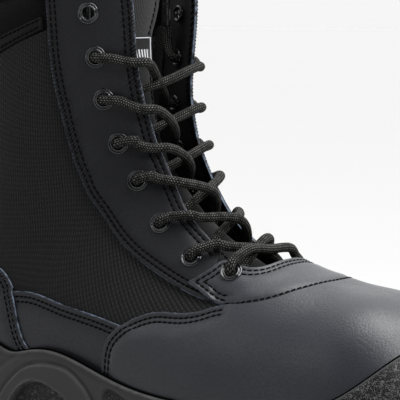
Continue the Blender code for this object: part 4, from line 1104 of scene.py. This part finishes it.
def smooth_path(points, longest):
    """A smooth curve through the given points with its long steps divided."""
    points = np.array(points, float)
    lengths = np.linalg.norm(np.diff(points, axis=0), axis=1)
    knots = np.concatenate([[0], np.cumsum(np.maximum(lengths, 0.5) ** 0.5)])
    places = [knots[:1]]
    for low, high, length in zip(knots, knots[1:], lengths):
        places.append(np.linspace(low, high, math.ceil(length / longest) + 1)[1:])
    return natural_spline(knots, points)(np.concatenate(places))


def tube(name, path, radius, sides, material, **more):
    """A closed round tube; radius may be a list. "lay" is the turn (0 to 1) and the length so far."""
    tangents = unit(np.gradient(path, axis=0))
    run = run_length(path)
    radius = np.broadcast_to(radius, len(path))
    normal = np.cross(tangents[0], (0, 0, 1))
    points, places = [], []
    for centre, tangent, length, r in zip(path, tangents, run, radius):
        normal = unit(normal - tangent * (normal @ tangent))
        other = np.cross(tangent, normal)
        for i in range(sides + 1):
            turn = i * math.tau / sides
            points.append(centre + r * (normal * math.cos(turn) + other * math.sin(turn)))
            places.append((i / sides, length, 0))
    faces = grid_faces(len(path), sides + 1)
    faces.append(tuple(range(sides))[::-1])
    faces.append(tuple(range(len(points) - sides - 1, len(points) - 1)))
    return make(name, points, faces, material, layers={"lay": places}, smooth=180, **more)


def flap_edge_s(t):
    """The eyestay's front edge at a station."""
    edge = np.array(EYESTAY_FRONT)[::-1]
    return float(np.interp(t, edge[:, 0], edge[:, 1]))


# Heights of the lace's centre line: over the leather, under it, and the step up onto the saddle
LACE_OVER = LEATHER_OUT + EYELET_HEIGHT + GAP * 3 + LACE_R
LACE_UNDER = LEATHER_IN - 1.6 - GAP * 2 - LACE_R
LAYER_STEP = OVERLAY_IN - LEATHER_IN


def eyelet_pass(i, sign):
    """Three places straight up through eyelet i, from inside to outside."""
    t, s = EYELETS[i]
    base = LAYER_STEP if i == 0 else 0.0
    return [shell_point(t, sign * s, base + h) for h in (LACE_UNDER + 1.0, LEATHER_IN, LACE_OVER - 1.6)]


def crossing(i, sign, start, end, on_top):
    """Where a strand passes the middle: on its straight line, clear of the tongue and the other strand."""
    t = EYELETS[i][0] + 0.8 * (EYELETS[i - 1][0] - EYELETS[i][0])
    share = abs(start[1]) / (abs(start[1]) + abs(end[1]))
    chord = start + (end - start) * share
    n = normals(t, 0.0)
    fall = (surface(t, 0.0) - chord) @ n
    rest = min(fall - 0.6, np.interp(t, *np.transpose(TONGUE_DEPTH)) - LACE_R - CROSSING_CLEAR)
    if on_top:
        rest -= 2 * LACE_R + 2 * GAP
    return chord + n * (fall - rest + CROSSING_LIFTS.get((i, sign), 0.0))


def strand(i, sign, on_top):
    """Places from eyelet i on one side, over its flap edge and down inside, to eyelet i-1 on the other."""
    t0, s0 = EYELETS[i]
    t1, s1 = EYELETS[i - 1]
    span, flap = t1 - t0, FLAP_SHARES[sign][i - 1]
    edge = flap_edge_s(t0 + flap * span)
    places = [
        (t0 + 0.32 * flap * span, s0 + 0.040, LACE_OVER - 0.3),
        (t0 + 0.50 * flap * span, (s0 + edge) / 2, LACE_OVER - 0.4),
        (t0 + flap * span, edge - 0.01, LACE_OVER - 0.7),
        (t0 + (flap + 0.15) * span, edge + 0.025, LACE_OVER - 2.6),
    ]
    outside = [shell_point(t, sign * s, h) for t, s, h in places]
    base = LAYER_STEP if i == 1 else 0.0
    end = shell_point(t1, -sign * s1, base + LACE_UNDER - 1.2)
    middle = crossing(i, sign, outside[-1], end, on_top)
    near_end = middle + (end - middle) * 0.72 + normals(t1, 0.0) * 0.5
    return eyelet_pass(i, sign) + outside + [middle, near_end, end]


def bottom_bar(sign):
    """Places across the front between the two lowest eyelets, over everything."""
    t, s = EYELETS[0]
    top = LACE_OVER + LAYER_STEP
    half = [(0.005, 0.030, 0.5), (0.009, 0.085, 1.6), (0.010, 0.150, 2.3)]
    left, right = (
        [shell_point(t + up, side * (s + inward), top - lower) for up, inward, lower in half]
        for side in (sign, -sign)
    )
    right.reverse()
    return eyelet_pass(0, sign) + left + [(left[-1] + right[0]) / 2] + right + eyelet_pass(0, -sign)[::-1]


def lace_half(sign):
    """One half of the lace: its tucked end and its strands down to the lowest eyelet."""
    t, s = EYELETS[TOP_LACED]
    places = [shell_point(t + 0.05, sign * (s - 0.03), LACE_UNDER - 1.5),
              shell_point(t + 0.015, sign * (s - 0.02), LACE_UNDER - 0.2)]
    for i in range(TOP_LACED, 0, -1):
        places += strand(i, sign, on_top=(sign == -1) == (i in (TOP_LACED, 1)))
        sign = -sign
    return places, sign


def laces():
    down, end = lace_half(1)
    up, _ = lace_half(-1)
    path = smooth_path(down + bottom_bar(end) + up[::-1], LACE_STEP)
    path = path + crumple(path)[:, None] * np.array([0.6, 0.0, 0.6])
    tube("lace_cord", path, CORD_R, 20, M_LACE, replaces=["lace"], slot="braided_lace")
    for side, tip, inner in (("lateral", path[0], path[3]), ("medial", path[-1], path[-4])):
        away = unit(tip - inner)
        shares = np.array([0, 0.02, 0.05, 0.3, 0.33, 0.36, 0.64, 0.67, 0.70, 0.93, 0.98, 1.0])
        sizes = np.array([0.8, 0.97, 1, 1, 0.93, 1, 1, 0.93, 1, 1, 0.9, 0.55]) * AGLET_R
        line = tip + away * (GAP + AGLET_LENGTH * shares)[:, None]
        tube(f"aglet_tip_{side}", line, sizes, 16, M_AGLET, replaces=[f"aglet_{side}"], slot="aglet_plastic")


# ---------------------------------------------------------------- tongue and collar
def tongue_point(t, y, depth):
    """A point on the tongue, which follows the upper at the throat and lies flatter and deeper above."""
    fall = depth + np.interp(t, *np.transpose(TONGUE_DEPTH))
    row = STATION(t)
    half = row[4] if y < 0 else row[5]
    s = math.asin((y - row[6]) / half) / math.radians(min(row[8], 180))
    near = shell_point(t, s, -fall)
    front, n = surface(t, 0.0), normals(t, 0.0)
    flat = front - n * (fall + y * y / (2 * TONGUE_CURVE_R)) + np.array([0.0, 1.0, 0.0]) * y
    return near + (flat - near) * float(ease(0.60, 0.85, t))


def tongue_y(t, across):
    """The tongue's y at a station, from its lateral edge (-1) to its medial one (1)."""
    stations, middles, halves = np.transpose(TONGUE_WIDTH)
    return np.interp(t, stations, middles) + across * np.interp(t, stations, halves)


def pad_grid(rows, columns):
    """Row, column and layer (0 outside, 1 inside) of every point of a pad."""
    return [(i, j, layer) for layer in (0, 1) for i in range(rows) for j in range(columns)]


def quarter_round(share):
    """The rise of a quarter circle, from 0 to 1."""
    return math.sqrt(max(0.0, 1 - (1 - share) ** 2))


def two_layers(rows, columns, point):
    """A closed pad from a grid of points on its outer and its inner side; its edge is one rim row."""
    count = rows * columns
    points = [point(*where) for where in pad_grid(rows, columns)]
    faces = []
    for quad in grid_faces(rows, columns):
        faces += [quad, tuple(k + count for k in quad[::-1])]
    rim = list(range(columns)) + [i * columns + columns - 1 for i in range(1, rows)]
    rim += [(rows - 1) * columns + j for j in range(columns - 2, -1, -1)]
    rim += [i * columns for i in range(rows - 2, 0, -1)]
    for a, b in zip(rim, rim[1:] + rim[:1]):
        faces.append((b, a, a + count, b + count))
    return points, faces


PUFF_SCALE = 12.0  # the pads are simulated this much larger, where cloth settings behave evenly


def inflate(obj, pinned, cap, pressure=4.0, frames=20):
    """Cloth simulation with air pressure. Sewn points stay put and no point moves further than the cap."""
    mesh = obj.data
    rest = np.array([v.co for v in mesh.vertices]).reshape(-1, 3)
    centre = rest.mean(axis=0)
    big = bpy.data.objects.new("pad_in_work", mesh.copy())
    bpy.context.scene.collection.objects.link(big)
    big.data.vertices.foreach_set("co", ((rest - centre) * PUFF_SCALE).ravel())
    group = big.vertex_groups.new(name="sewn")
    group.add([int(i) for i in np.nonzero(pinned)[0]], 1.0, "REPLACE")
    cloth = big.modifiers.new("cloth", "CLOTH")
    settings = dict(vertex_group_mass="sewn", use_pressure=True, uniform_pressure_force=pressure, mass=0.15,
                    quality=6, tension_stiffness=12, compression_stiffness=12, bending_stiffness=0.3)
    for key, value in settings.items():
        setattr(cloth.settings, key, value)
    cloth.settings.effector_weights.gravity = 0.0
    cloth.point_cache.frame_end = frames
    for i in range(1, frames + 1):
        bpy.context.scene.frame_set(i)
    depsgraph = bpy.context.evaluated_depsgraph_get()
    swelled = np.array([v.co for v in big.evaluated_get(depsgraph).data.vertices]).reshape(-1, 3)
    bpy.context.scene.frame_set(1)
    bpy.data.objects.remove(big)
    move = swelled / PUFF_SCALE + centre - rest
    far = np.linalg.norm(move, axis=1, keepdims=True)
    move *= np.minimum(1, cap * MM * GRADE / np.maximum(far, 1e-9))
    mesh.vertices.foreach_set("co", (rest + move).ravel())
    mesh.update()


def subdivide(obj):
    """One round of smoothing subdivision, applied."""
    obj.modifiers.new("smooth", "SUBSURF").levels = 1
    depsgraph = bpy.context.evaluated_depsgraph_get()
    finer = bpy.data.meshes.new_from_object(obj.evaluated_get(depsgraph))
    obj.modifiers.clear()
    obj.data = finer


def collar():
    rows, columns, tucked = 14, 102, 0.042
    front, far = COLLAR_ENDS
    ss = np.concatenate([[front + tucked], np.linspace(front, far, columns - 2), [far - tucked]])
    ts = np.concatenate([[BINDING[0] - 0.010], np.linspace(*COLLAR, rows - 1)])
    channel = rows // 2

    def height(i, j, layer):
        bulge = quarter_round(max(0, min(i - 1, rows - 1 - i, 3, j - 1, columns - 2 - j)) / 3)
        return (0.2 + 1.3 * bulge - 0.4 * (i == 0)) if layer == 0 else (-0.9 - 2.4 * bulge)

    def point(i, j, layer):
        sunk = 1.5 * bell(i - channel, 0.8) if layer == 0 and 3 < j < columns - 4 else 0.0
        return shell_point(ts[i], ss[j], height(i, j, layer) - sunk)

    points, faces = two_layers(rows, columns, point)
    faces = [face[::-1] for face in faces]
    grid = pad_grid(rows, columns)
    held_rows, held_columns = (0, 1, rows - 1), (0, 1, columns - 2, columns - 1)
    pinned = np.array([i in held_rows or j in held_columns or (i, layer) == (channel, 0)
                       for i, j, layer in grid])
    places = [lay(ts[i], ss[j]) for i, j, _ in grid]
    obj = make("collar_padding", points, faces, M_COLLAR, replaces=["collar_pad"], slot="padded_textile",
               layers={"lay": places}, smooth=180)
    inflate(obj, pinned, 1.3)
    subdivide(obj)
    line = curve([(ts[channel], ss[4]), (ts[channel], -1.0), (ts[channel], ss[-5])])
    n = normals(line[:, 0], wrap(line[:, 1]))
    sewn = [(place(*line.T) + n * 0.25, n)]
    make("thread_collar", *stitches(sewn, 3.4), M_THREAD, smooth=180)


def tongue():
    rows, columns = 92, 23
    ts = np.linspace(*TONGUE_T, rows)
    across = np.linspace(-1, 1, columns)
    seams, cross = (3, columns - 4), (50,)

    def point(i, j, layer):
        bulge = quarter_round(min(i, rows - 1 - i, j, columns - 1 - j, 2) / 2)
        corner = 1 - 0.10 * float(ease(rows - 9, rows - 1, i)) ** 2
        depth = (1.45 - 0.75 * bulge) if layer == 0 else (1.95 + 0.75 * bulge)
        if j in seams and 1 < i < rows - 2 or i in cross and 2 < j < columns - 3:
            depth += 0.55 if layer == 0 else -0.3
        return tongue_point(ts[i], tongue_y(ts[i], across[j] * corner), depth)

    points, faces = two_layers(rows, columns, point)
    grid = pad_grid(rows, columns)
    rim = np.array([i in (0, rows - 1) or j in (0, columns - 1) for i, j, _ in grid])
    pinned = rim | np.array([j in seams or i in cross for i, j, _ in grid])
    places = [(across[j] * 22, ts[i] * TONGUE_LAY, 0) for i, j, _ in grid]
    obj = make("tongue_padding", points, faces, M_TONGUE, "tongue_body", ["tongue"], "padded_textile",
               layers={"lay": places}, smooth=180)
    inflate(obj, pinned, 0.8)
    subdivide(obj)

    lines = []  # each a list of places (t, y) and a depth
    for j in seams:
        lines.append(([(t, tongue_y(t, across[j])) for t in np.linspace(ts[2], ts[-3], 160)], 0.95))
    for y in (-12.5, -10.3):
        lines.append(([(t, y) for t in np.linspace(0.915, 1.02, 40)], 0.15))
    tack_y, tack_t = LABEL_Y + LABEL_HALF + 2.2, LABEL_T[1] - 0.002
    lines.append(([(tack_t - 0.0016 * k, tack_y + 3.2 * (k % 2)) for k in range(14)], 0.1))
    sewn = [(np.array([tongue_point(t, y, depth) for t, y in line]),
             np.array([normals(t, 0.0) for t, _ in line])) for line, depth in lines]
    make("thread_tongue", *stitches(sewn, 3.2), M_THREAD, "tongue_body", smooth=180)

    low, high = LABEL_T
    label_ts, label_ys = np.linspace(low, high, 19), LABEL_Y + LABEL_HALF * np.linspace(-1, 1, 19)
    points, faces = two_layers(
        19, 19, lambda i, j, layer: tongue_point(label_ts[i], label_ys[j], -0.75 if layer == 0 else -0.2))
    places = [(j / 18, i / 18, 0) for i, j, _ in pad_grid(19, 19)]
    make("label_patch", points, faces, M_LABEL, "tongue_body", ["tongue_label"], "woven_label",
         layers={"lay": places})


# ---------------------------------------------------------------- the sole
SOLE_POINTS = 960
WALL_ROWS = 64
TREAD_PEBBLE = 0.35
# Bands on the side of the sole, as (x, z)
ARCH_OUTER = [(56.0, 12.0), (61.0, 24.0), (70.0, 33.0), (79.0, 38.5), (87.0, 40.8), (94.0, 41.6),
              (101.0, 41.6), (108.0, 40.6), (116.0, 36.5), (121.0, 32.5), (126.0, 26.0), (130.0, 14.0)]
ARCH_INNER = [(64.0, 8.0), (70.0, 22.5), (75.0, 28.0), (80.0, 30.8), (87.0, 32.6), (94.0, 32.0),
              (102.0, 29.6), (109.0, 26.0), (114.0, 17.0), (117.0, 8.0)]
CREASE = np.array([(76.0, 46.5), (70.0, 43.0), (62.0, 38.5), (54.0, 33.0)])
HEEL_PANEL = [(-2.0, 14.0), (2.0, 30.0), (18.0, 36.0), (40.0, 35.0), (50.0, 26.0), (48.0, 14.0)]
SIDE_PANEL = [(133.0, 13.0), (132.5, 27.0), (134.5, 34.0), (150.0, 31.2), (176.0, 28.6), (215.0, 27.6),
              (236.0, 28.0), (244.0, 23.0), (246.0, 13.0)]
GROOVES = [14.0, 30.0, 54.0, 150.0, 166.0, 208.0, 226.0, 244.0]
GROOVE_DEPTH = 3.6
GROOVE_WIDTH = 5.0
# Rows that close the wall's top and line the gap under the leather with a painted black shadow, as (height
# over the top, depth)
SEAM_ROWS = ((0.30, 1.5), (0.20, 1.1), (0.85, 0.95), (1.0, 0.5), (0.5, 0.1), (-1.6, 0.0))


def curve_through(points):
    xs, zs = np.array(points, float).T
    spline = natural_spline(xs, zs[:, None])
    return lambda x: spline(np.clip(x, xs[0], xs[-1]))[..., 0]


sole_top = curve_through(SOLE_TOP_EDGE)


def ground(x):
    xs, zs = np.array(SOLE_GROUND).T
    return np.interp(x, xs, zs)


def edge_height(x):
    points = surface(np.linspace(0.02, HEEL_T, 120), -1.0)
    order = np.argsort(points[:, 0])
    return np.interp(x, points[order, 0], points[order, 2])


def sole_ring(count):
    """Plan points and outward directions of the upper's lower edge, at even steps around it."""
    ts = np.linspace(0.0, HEEL_T, 200)
    lateral, medial = surface(ts, -1.0)[:, :2], surface(ts, 1.0)[:, :2]
    loop = np.vstack([lateral, medial[::-1]])
    closed = np.vstack([loop, loop[:1]])
    run = np.concatenate([[0], np.cumsum(np.hypot(*np.diff(closed, axis=0).T))])
    coarse = np.arange(72) * run[-1] / 72
    ring = along_line(coarse, run, closed)
    for _ in range(2):
        ring = (np.roll(ring, 1, axis=0) + 2 * ring + np.roll(ring, -1, axis=0)) / 4
    wide = np.vstack([ring[-3:], ring, ring[:4]])
    spline = natural_spline(np.arange(-3, 76), wide)
    fine = spline(np.arange(count) * 72 / count)
    ahead = np.roll(fine, -1, axis=0) - np.roll(fine, 1, axis=0)
    out = unit(np.stack([-ahead[:, 1], ahead[:, 0]], -1))
    if ((fine - fine.mean(axis=0)) * out).sum() < 0:
        out = -out
    return fine, out


def upper_tree():
    """The outside of the upper's leather, for measuring."""
    ts, ss = np.linspace(0.004, 0.95, 190), np.linspace(-1, 1, 97)
    grid = shell_point(ts[:, None], ss[None, :] * 0.9999, np.full((len(ts), len(ss)), OVERLAY_OUT))
    columns = len(ss)
    faces = grid_faces(len(ts), columns)
    for first in (np.nonzero(ts[:-1] > HEEL_T - 0.01)[0] * columns).tolist():
        last = first + columns - 1
        faces.append((last, first, first + columns, last + columns))
    return BVHTree.FromPolygons([Vector(p) for p in grid.reshape(-1, 3)], faces)


def wall_at(tree, ring, out, heights, low):
    """How far out from the ring the upper's outside is at the given heights."""
    reach = np.full(len(ring), OVERLAY_OUT)
    for i, ((x, y), (dx, dy), z) in enumerate(zip(ring, out, heights)):
        if z > low[i] + 0.5:
            hit = tree.ray_cast(Vector((x + dx * 40, y + dy * 40, z)), Vector((-dx, -dy, 0)), 120)[0]
            if hit is not None:
                reach[i] = (hit[0] - x) * dx + (hit[1] - y) * dy
    return reach


def gap_within(points, loop):
    """Distance to a closed outline, positive inside it."""
    gap = line_distance(points, loop, closed=True)
    return np.where(inside(points, loop), gap, -gap)


def signed_gap(x, z, outline):
    """Distance in the side view to a drawn outline, positive inside it."""
    corners = np.array(outline)
    knots = run_length(corners)
    loop = natural_spline(knots, corners)(np.linspace(0, knots[-1], 80))
    return gap_within(np.stack([x, z], -1), loop)


def side_relief(x, z, top, low):
    """How far the sole's side stands out at (x, z), where it is pebbled and where a highlight is painted
    along its lip and the arch bands' rims.
    """
    below = top - z
    lipped = 1 - ease(256, 268, x)
    relief = (0.55 * bell(below - 0.8, 0.7) - 0.45 * bell(below - 2.4, 0.7)) * lipped
    outer, inner = signed_gap(x, z, ARCH_OUTER), signed_gap(x, z, ARCH_INNER)
    relief += 1.5 * ease(-0.9, 0.5, outer) - 0.8 * bell(outer + 1.2, 0.8)
    relief += 0.7 * bell(inner + 0.8, 0.55) - 2.5 * ease(-0.2, 0.5, inner)
    panels = np.maximum(signed_gap(x, z, HEEL_PANEL), signed_gap(x, z, SIDE_PANEL))
    relief += 0.35 * bell(panels + 0.9, 0.6) - 1.1 * ease(-0.3, 0.5, panels)
    relief -= 0.55 * bell(line_distance(np.stack([x, z], -1), CREASE), 1.1)
    bumper = ease(0.3, 0.9, below - 3.6 * lipped) * ease(247, 254, x)
    relief += 0.4 * bumper * ease(250, 262, x)
    pebble = np.clip(ease(0.4, 1.2, inner) + ease(0.4, 1.0, panels) + bumper, 0, 1)
    # Where the rubber paints a highlight, along the top lip and the arch bands' rims.
    lip = bell(below - 0.35, 0.35) * lipped + 0.6 * bell(inner + 0.6, 0.45) + 0.25 * bell(outer - 0.6, 0.5)
    return relief, pebble * ease(0.5, 3.0, z - low), lip


def groove_outline(x, sign, inset=0.0):
    """The plan of one tread groove, with y running out past the side of the sole."""
    y0, y1 = 7.0 + inset, 66.0
    lean = lambda y: 0.28 * (y - 7.0)
    x0, x1 = x + inset, x + GROOVE_WIDTH - inset
    corners = [(x0, y0), (x1, y0), (x1, y1), (x0, y1)]
    return np.array([(px + lean(py), sign * py) for px, py in corners])


def groove_share(x, y):
    """1 in the tread grooves, falling to 0 over their walls."""
    share = np.zeros(len(x))
    points = np.stack([x, y], -1)
    for start in GROOVES:
        for sign in (-1, 1):
            near = np.abs(x - start - 10) < 28
            gap = gap_within(points[near], groove_outline(start, sign))
            share[near] = np.maximum(share[near], ease(0.0, 0.9, gap))
    return share


def cap(points, faces, first, count, flat, triangles, z):
    """Closes a ring of points with a filled plan outline whose first points are that ring."""
    merge = np.concatenate([np.arange(count) + first, np.arange(len(flat) - count) + len(points)])
    faces += [tuple(int(merge[i]) for i in t) for t in triangles]
    return np.vstack([points, np.column_stack([flat, z])[count:]])


def sole():
    tree = upper_tree()
    ring, out = sole_ring(SOLE_POINTS)
    low_edge = edge_height(ring[:, 0])
    top = sole_top(ring[:, 0] + 4 * out[:, 0])
    low = ground(ring[:, 0] + 6 * out[:, 0])
    floor = low + TREAD_FLOOR
    levels = np.linspace(0, 1, 9)
    reach = np.array([wall_at(tree, ring, out, floor + k * (top - floor), low_edge) for k in levels])
    for _ in range(3):
        reach = (np.roll(reach, 1, axis=1) + 2 * reach + np.roll(reach, -1, axis=1)) / 4
    foot = np.where(ring[:, 0] > 250, 1.0, 0.35) + reach

    def ring_at(z, away):
        return np.column_stack([ring + out * away[:, None], z])

    rows, pebbles, lips = [], [], []
    for k in np.linspace(0, 1, WALL_ROWS):
        z = low + k * (top - low)
        share = np.clip((z - floor) / (top - floor), 0, 1)
        base = np.array([np.interp(share[i], levels, foot[:, i]) for i in range(len(ring))])
        depth = np.interp(k, (0, 0.03, 0.1, 0.3, 1), (0.9, 2.2, 3.2, SIDEWALL + 0.35, SIDEWALL_TOP))
        relief, pebble, lip = side_relief(ring[:, 0] + 4 * out[:, 0], z, top, low)
        fade = ease(0.0, 0.10, k)
        rows.append(ring_at(z, base + depth + relief * fade * 0.9))
        pebbles.append(pebble * fade)
        lips.append(lip)
    for above, depth in SEAM_ROWS:
        rows.append(ring_at(top + above, foot[-1] + depth))
    for k in (0.88, 0.8, 0.6, 0.4, 0.2, 0.0):
        base = np.array([np.interp(k, levels, foot[:, i]) for i in range(len(ring))])
        rows.append(ring_at(floor + k * (top - floor), base))

    points, count = np.vstack(rows), len(ring)
    notch = groove_share(points[:, 0], points[:, 1])
    lifted = np.maximum(points[:, 2], ground(points[:, 0]) + GROOVE_DEPTH * notch)
    wall = np.arange(len(points)) < WALL_ROWS * count
    points[:, 2] = np.where(wall, lifted, points[:, 2])
    faces = grid_faces(len(rows), count, closed=True)
    # These rows are painted black: a painted shadow in the gap under the leather.
    gap_shadow_rows = np.repeat(np.arange(len(rows)) > WALL_ROWS, count).astype(float)
    pebbles = np.pad(np.concatenate(pebbles), (0, len(points) - WALL_ROWS * count))

    tread, triangles = tread_grid(points[:count, :2])
    z = ground(tread[:, 0]) + GROOVE_DEPTH * groove_share(tread[:, 0], tread[:, 1]) + tread_relief(tread)
    points = cap(points, faces, 0, count, tread, triangles[:, ::-1], z)
    pebbles = np.concatenate([pebbles, np.full(len(tread) - count, TREAD_PEBBLE)])

    last = (len(rows) - 1) * count
    flat, triangles = flat_fill(points[last : last + count, :2], 9.0)
    points = cap(points, faces, last, count, flat, triangles, ground(flat[:, 0]) + TREAD_FLOOR)
    layers = {"pebble": pebbles, "lip": np.concatenate(lips), "gap_shadow": gap_shadow_rows}
    layers = {key: np.pad(values, (0, len(points) - len(values))) for key, values in layers.items()}
    obj = make("outsole_moulded", points, faces, M_RUBBER, replaces=["outsole"], slot="sole_rubber",
               smooth=60, layers=layers)
    face_outwards(obj)


def face_outwards(obj):
    shape = bmesh.new()
    shape.from_mesh(obj.data)
    bmesh.ops.recalc_face_normals(shape, faces=shape.faces)
    shape.to_mesh(obj.data)
    shape.free()


def flat_fill(loop, step, lines=()):
    """Triangles inside a plan outline, with more closed outlines as extra edges."""
    low, high = loop.min(axis=0), loop.max(axis=0)
    xs, ys = np.arange(low[0], high[0], step), np.arange(low[1], high[1], step * 0.87)
    grid = staggered(xs, ys)
    grid = grid[inside(grid, loop)]
    grid = grid[line_distance(grid, loop, closed=True) > step * 0.5]
    for line in lines:
        grid = grid[line_distance(grid, line) > step * 0.35]
    points = np.vstack([loop, *lines, grid])
    edges = [(i, (i + 1) % len(loop)) for i in range(len(loop))]
    start = len(loop)
    for line in lines:
        edges += [(start + i, start + i + 1) for i in range(len(line) - 1)]
        start += len(line)
    flat, triangles = triangulate(points, edges)
    triangles = triangles[inside(flat[triangles].mean(axis=1), loop)]
    area = turn_upwards(flat, triangles)
    used, renumbered = np.unique(triangles[np.abs(area) > 1e-5], return_inverse=True)
    if len(used) < len(flat) and not (used[: len(loop)] == np.arange(len(loop))).all():
        raise RuntimeError("an outline point was lost")
    return flat[used], renumbered.reshape(-1, 3)


def tread_grid(loop):
    """The plan of the tread, with edges along its grooves so that their walls are clean."""
    lines = []
    for start in GROOVES:
        for sign in (-1, 1):
            for inset in (0.0, 0.9):
                corners = groove_outline(start, sign, inset)[[3, 0, 1, 2]]
                pieces = [a + (b - a) * np.linspace(0, 1, max(2, int(np.hypot(*(b - a)) / 1.6)))[:, None]
                          for a, b in zip(corners, corners[1:])]
                line = np.vstack([pieces[0], pieces[1][1:], pieces[2][1:]])
                keep = inside(line, loop) & (line_distance(line, loop, closed=True) > 0.8)
                inner = np.nonzero(keep)[0]
                if len(inner) > 4:
                    lines.append(line[inner[0] : inner[-1] + 1])
    return flat_fill(loop, 2.6, lines)


def tread_relief(tread):
    """Shallow cuts between the tread's grooves; the tread's pebbling comes from the rubber's material."""
    x, y = tread.T
    cuts = np.abs(((x - 0.28 * np.abs(y)) / 8.0) % 1 - 0.5)
    return 0.5 * ease(0.10, 0.04, cuts) * ease(8, 12, np.abs(y))


def footbed():
    """The loose footbed: textile cover over foam, its rim raised around the heel and arch."""
    ring, out = sole_ring(240)
    rim = ring - out * 5.0
    flat, triangles = flat_fill(rim, 3.4)
    x, y = flat.T
    gap = line_distance(flat, rim, closed=True)
    base = edge_height(x) + 2.0
    cup = ease(11, 1, gap) * (0.25 + 0.75 * ease(150, 60, x))
    arch = bell(x - 118, 34) * ease(5, 30, y)
    edge = np.sqrt(np.clip(1 - (1 - np.clip(gap / 2.2, 0, 1)) ** 2, 0, 1))
    top = base + 0.9 + 2.9 * edge + 0.55 * cup + 0.35 * arch
    points, faces = thicken(triangles, np.column_stack([flat, top]), np.column_stack([flat, base + 0.25]))
    make("footbed_moulded", points, faces, M_FOOTBED, "footbed_body", ["footbed"], "footbed_foam")


def inner_parts():
    """The CAD nodes that stay as they are, each with the finish of its own stuff."""
    looks = {
        "toe_cap": steel("toe_cap_steel", (0.42, 0.43, 0.45)),
        "shank": steel("shank_steel", (0.50, 0.50, 0.52)),
        "heel_stiffener": board("stiffener_board", (0.30, 0.27, 0.22), (0.19, 0.17, 0.13)),
        "insole_board": board("insole_board", (0.42, 0.36, 0.27), (0.27, 0.23, 0.17)),
        "midsole": board("midsole_foam", (0.045, 0.045, 0.047), (0.022, 0.022, 0.023)),
    }
    for name, mat in looks.items():
        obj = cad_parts[name]
        obj.data.materials.clear()
        obj.data.materials.append(mat)


# ---------------------------------------------------------------- floor, light and camera
CAMERA_AZIMUTH, CAMERA_PITCH = 38.0, 6.0
CAMERA_TARGET = (150.0, -20.0, 110.0)
CAMERA_DISTANCE = 1050.0
CAMERA_LENS, CAMERA_SHIFT = 198.45, (0.0725, 0.07)
BACKDROP_DARK, BACKDROP_BRIGHT = 0.07, 1.45  # the studio in front of the boot and behind it
BACKDROP_SEEN = 0.922
FLOOR_HALF, FLOOR_Z = 12.0, -0.0006
LAMPS = [  # name, kind, energy, place, what it points at, size
    ("overhead", "SUN", 3.6, (0.30, 0.20, 1.0), (0, 0, 0), 50.0),
    ("key", "AREA", 9.0, (1.15, -0.15, 0.95), (0.12, 0.0, 0.08), 0.55),
    ("fill", "AREA", 2.2, (-0.5, -1.3, 0.9), (0.08, 0.0, 0.12), 1.0),
]


def studio():
    scene = bpy.context.scene
    scene.view_settings.view_transform = "Standard"
    world = bpy.data.worlds.new("studio")
    scene.world = world
    world.use_nodes = True
    azimuth, pitch = math.radians(CAMERA_AZIMUTH), math.radians(CAMERA_PITCH)
    level = math.cos(pitch)
    ahead = Vector((-math.sin(azimuth) * level, math.cos(azimuth) * level, -math.sin(pitch)))
    w = Nodes(world.node_tree)
    brightest = (ahead + Vector((0, 0, 0.45))).normalized()
    facing = w.node("VectorMath", {0: w.node("TexCoord", out="Generated"), 1: brightest}, out="Value",
                    operation="DOT_PRODUCT")
    lit = w.ramp(facing, -0.05, 0.85, BACKDROP_DARK, BACKDROP_BRIGHT)
    background = w.tree.nodes["Background"]
    background.inputs[0].default_value = (1, 1, 1, 1)
    seen = w.node("LightPath", out="Is Camera Ray")
    w.link(w.ramp(seen, 0.0, 1.0, lit, BACKDROP_SEEN), background.inputs[1])

    mesh = bpy.data.meshes.new("floor")
    corners = [(x * FLOOR_HALF, y * FLOOR_HALF, FLOOR_Z) for x, y in ((-1, -1), (1, -1), (1, 1), (-1, 1))]
    mesh.from_pydata(corners, [], [(0, 1, 2, 3)])
    floor = bpy.data.objects.new("floor", mesh)
    scene.collection.objects.link(floor)
    m = Shade("floor_paper", Roughness=0.9, Specular_IOR_Level=0.1)
    seen = m.node("LightPath", out="Is Camera Ray")
    paper = m.mix(m.noise(400.0, 2.0), (0.520, 0.520, 0.520), (0.530, 0.530, 0.530))
    m.put(Base_Color=m.mix(seen, (0.34, 0.34, 0.34), paper))
    mesh.materials.append(m.mat)

    def light(name, kind, energy, where, at, size):
        """size is the diameter of an area lamp in metres, or the angle of the sun in degrees."""
        data = bpy.data.lights.new(name, kind)
        data.energy = energy
        if kind == "AREA":
            data.shape, data.size = "DISK", size
        else:
            data.angle = math.radians(size)
        lamp = bpy.data.objects.new(name, data)
        lamp.location = where
        lamp.rotation_euler = (Vector(at) - Vector(where)).to_track_quat("-Z", "Y").to_euler()
        scene.collection.objects.link(lamp)

    for lamp in LAMPS:
        light(*lamp)

    data = bpy.data.cameras.new("camera")
    data.sensor_width = 36.0
    data.lens = CAMERA_LENS
    data.shift_x, data.shift_y = CAMERA_SHIFT
    data.clip_start, data.clip_end = 0.02, 60.0
    camera = bpy.data.objects.new("camera", data)
    target = Vector(to_world(CAMERA_TARGET))
    camera.location = target - ahead * CAMERA_DISTANCE * GRADE * MM
    camera.rotation_euler = ahead.to_track_quat("-Z", "Y").to_euler()
    scene.collection.objects.link(camera)
    scene.camera = camera


upper()
eyelets()
laces()
tongue()
collar()
sole()
footbed()
inner_parts()
studio()
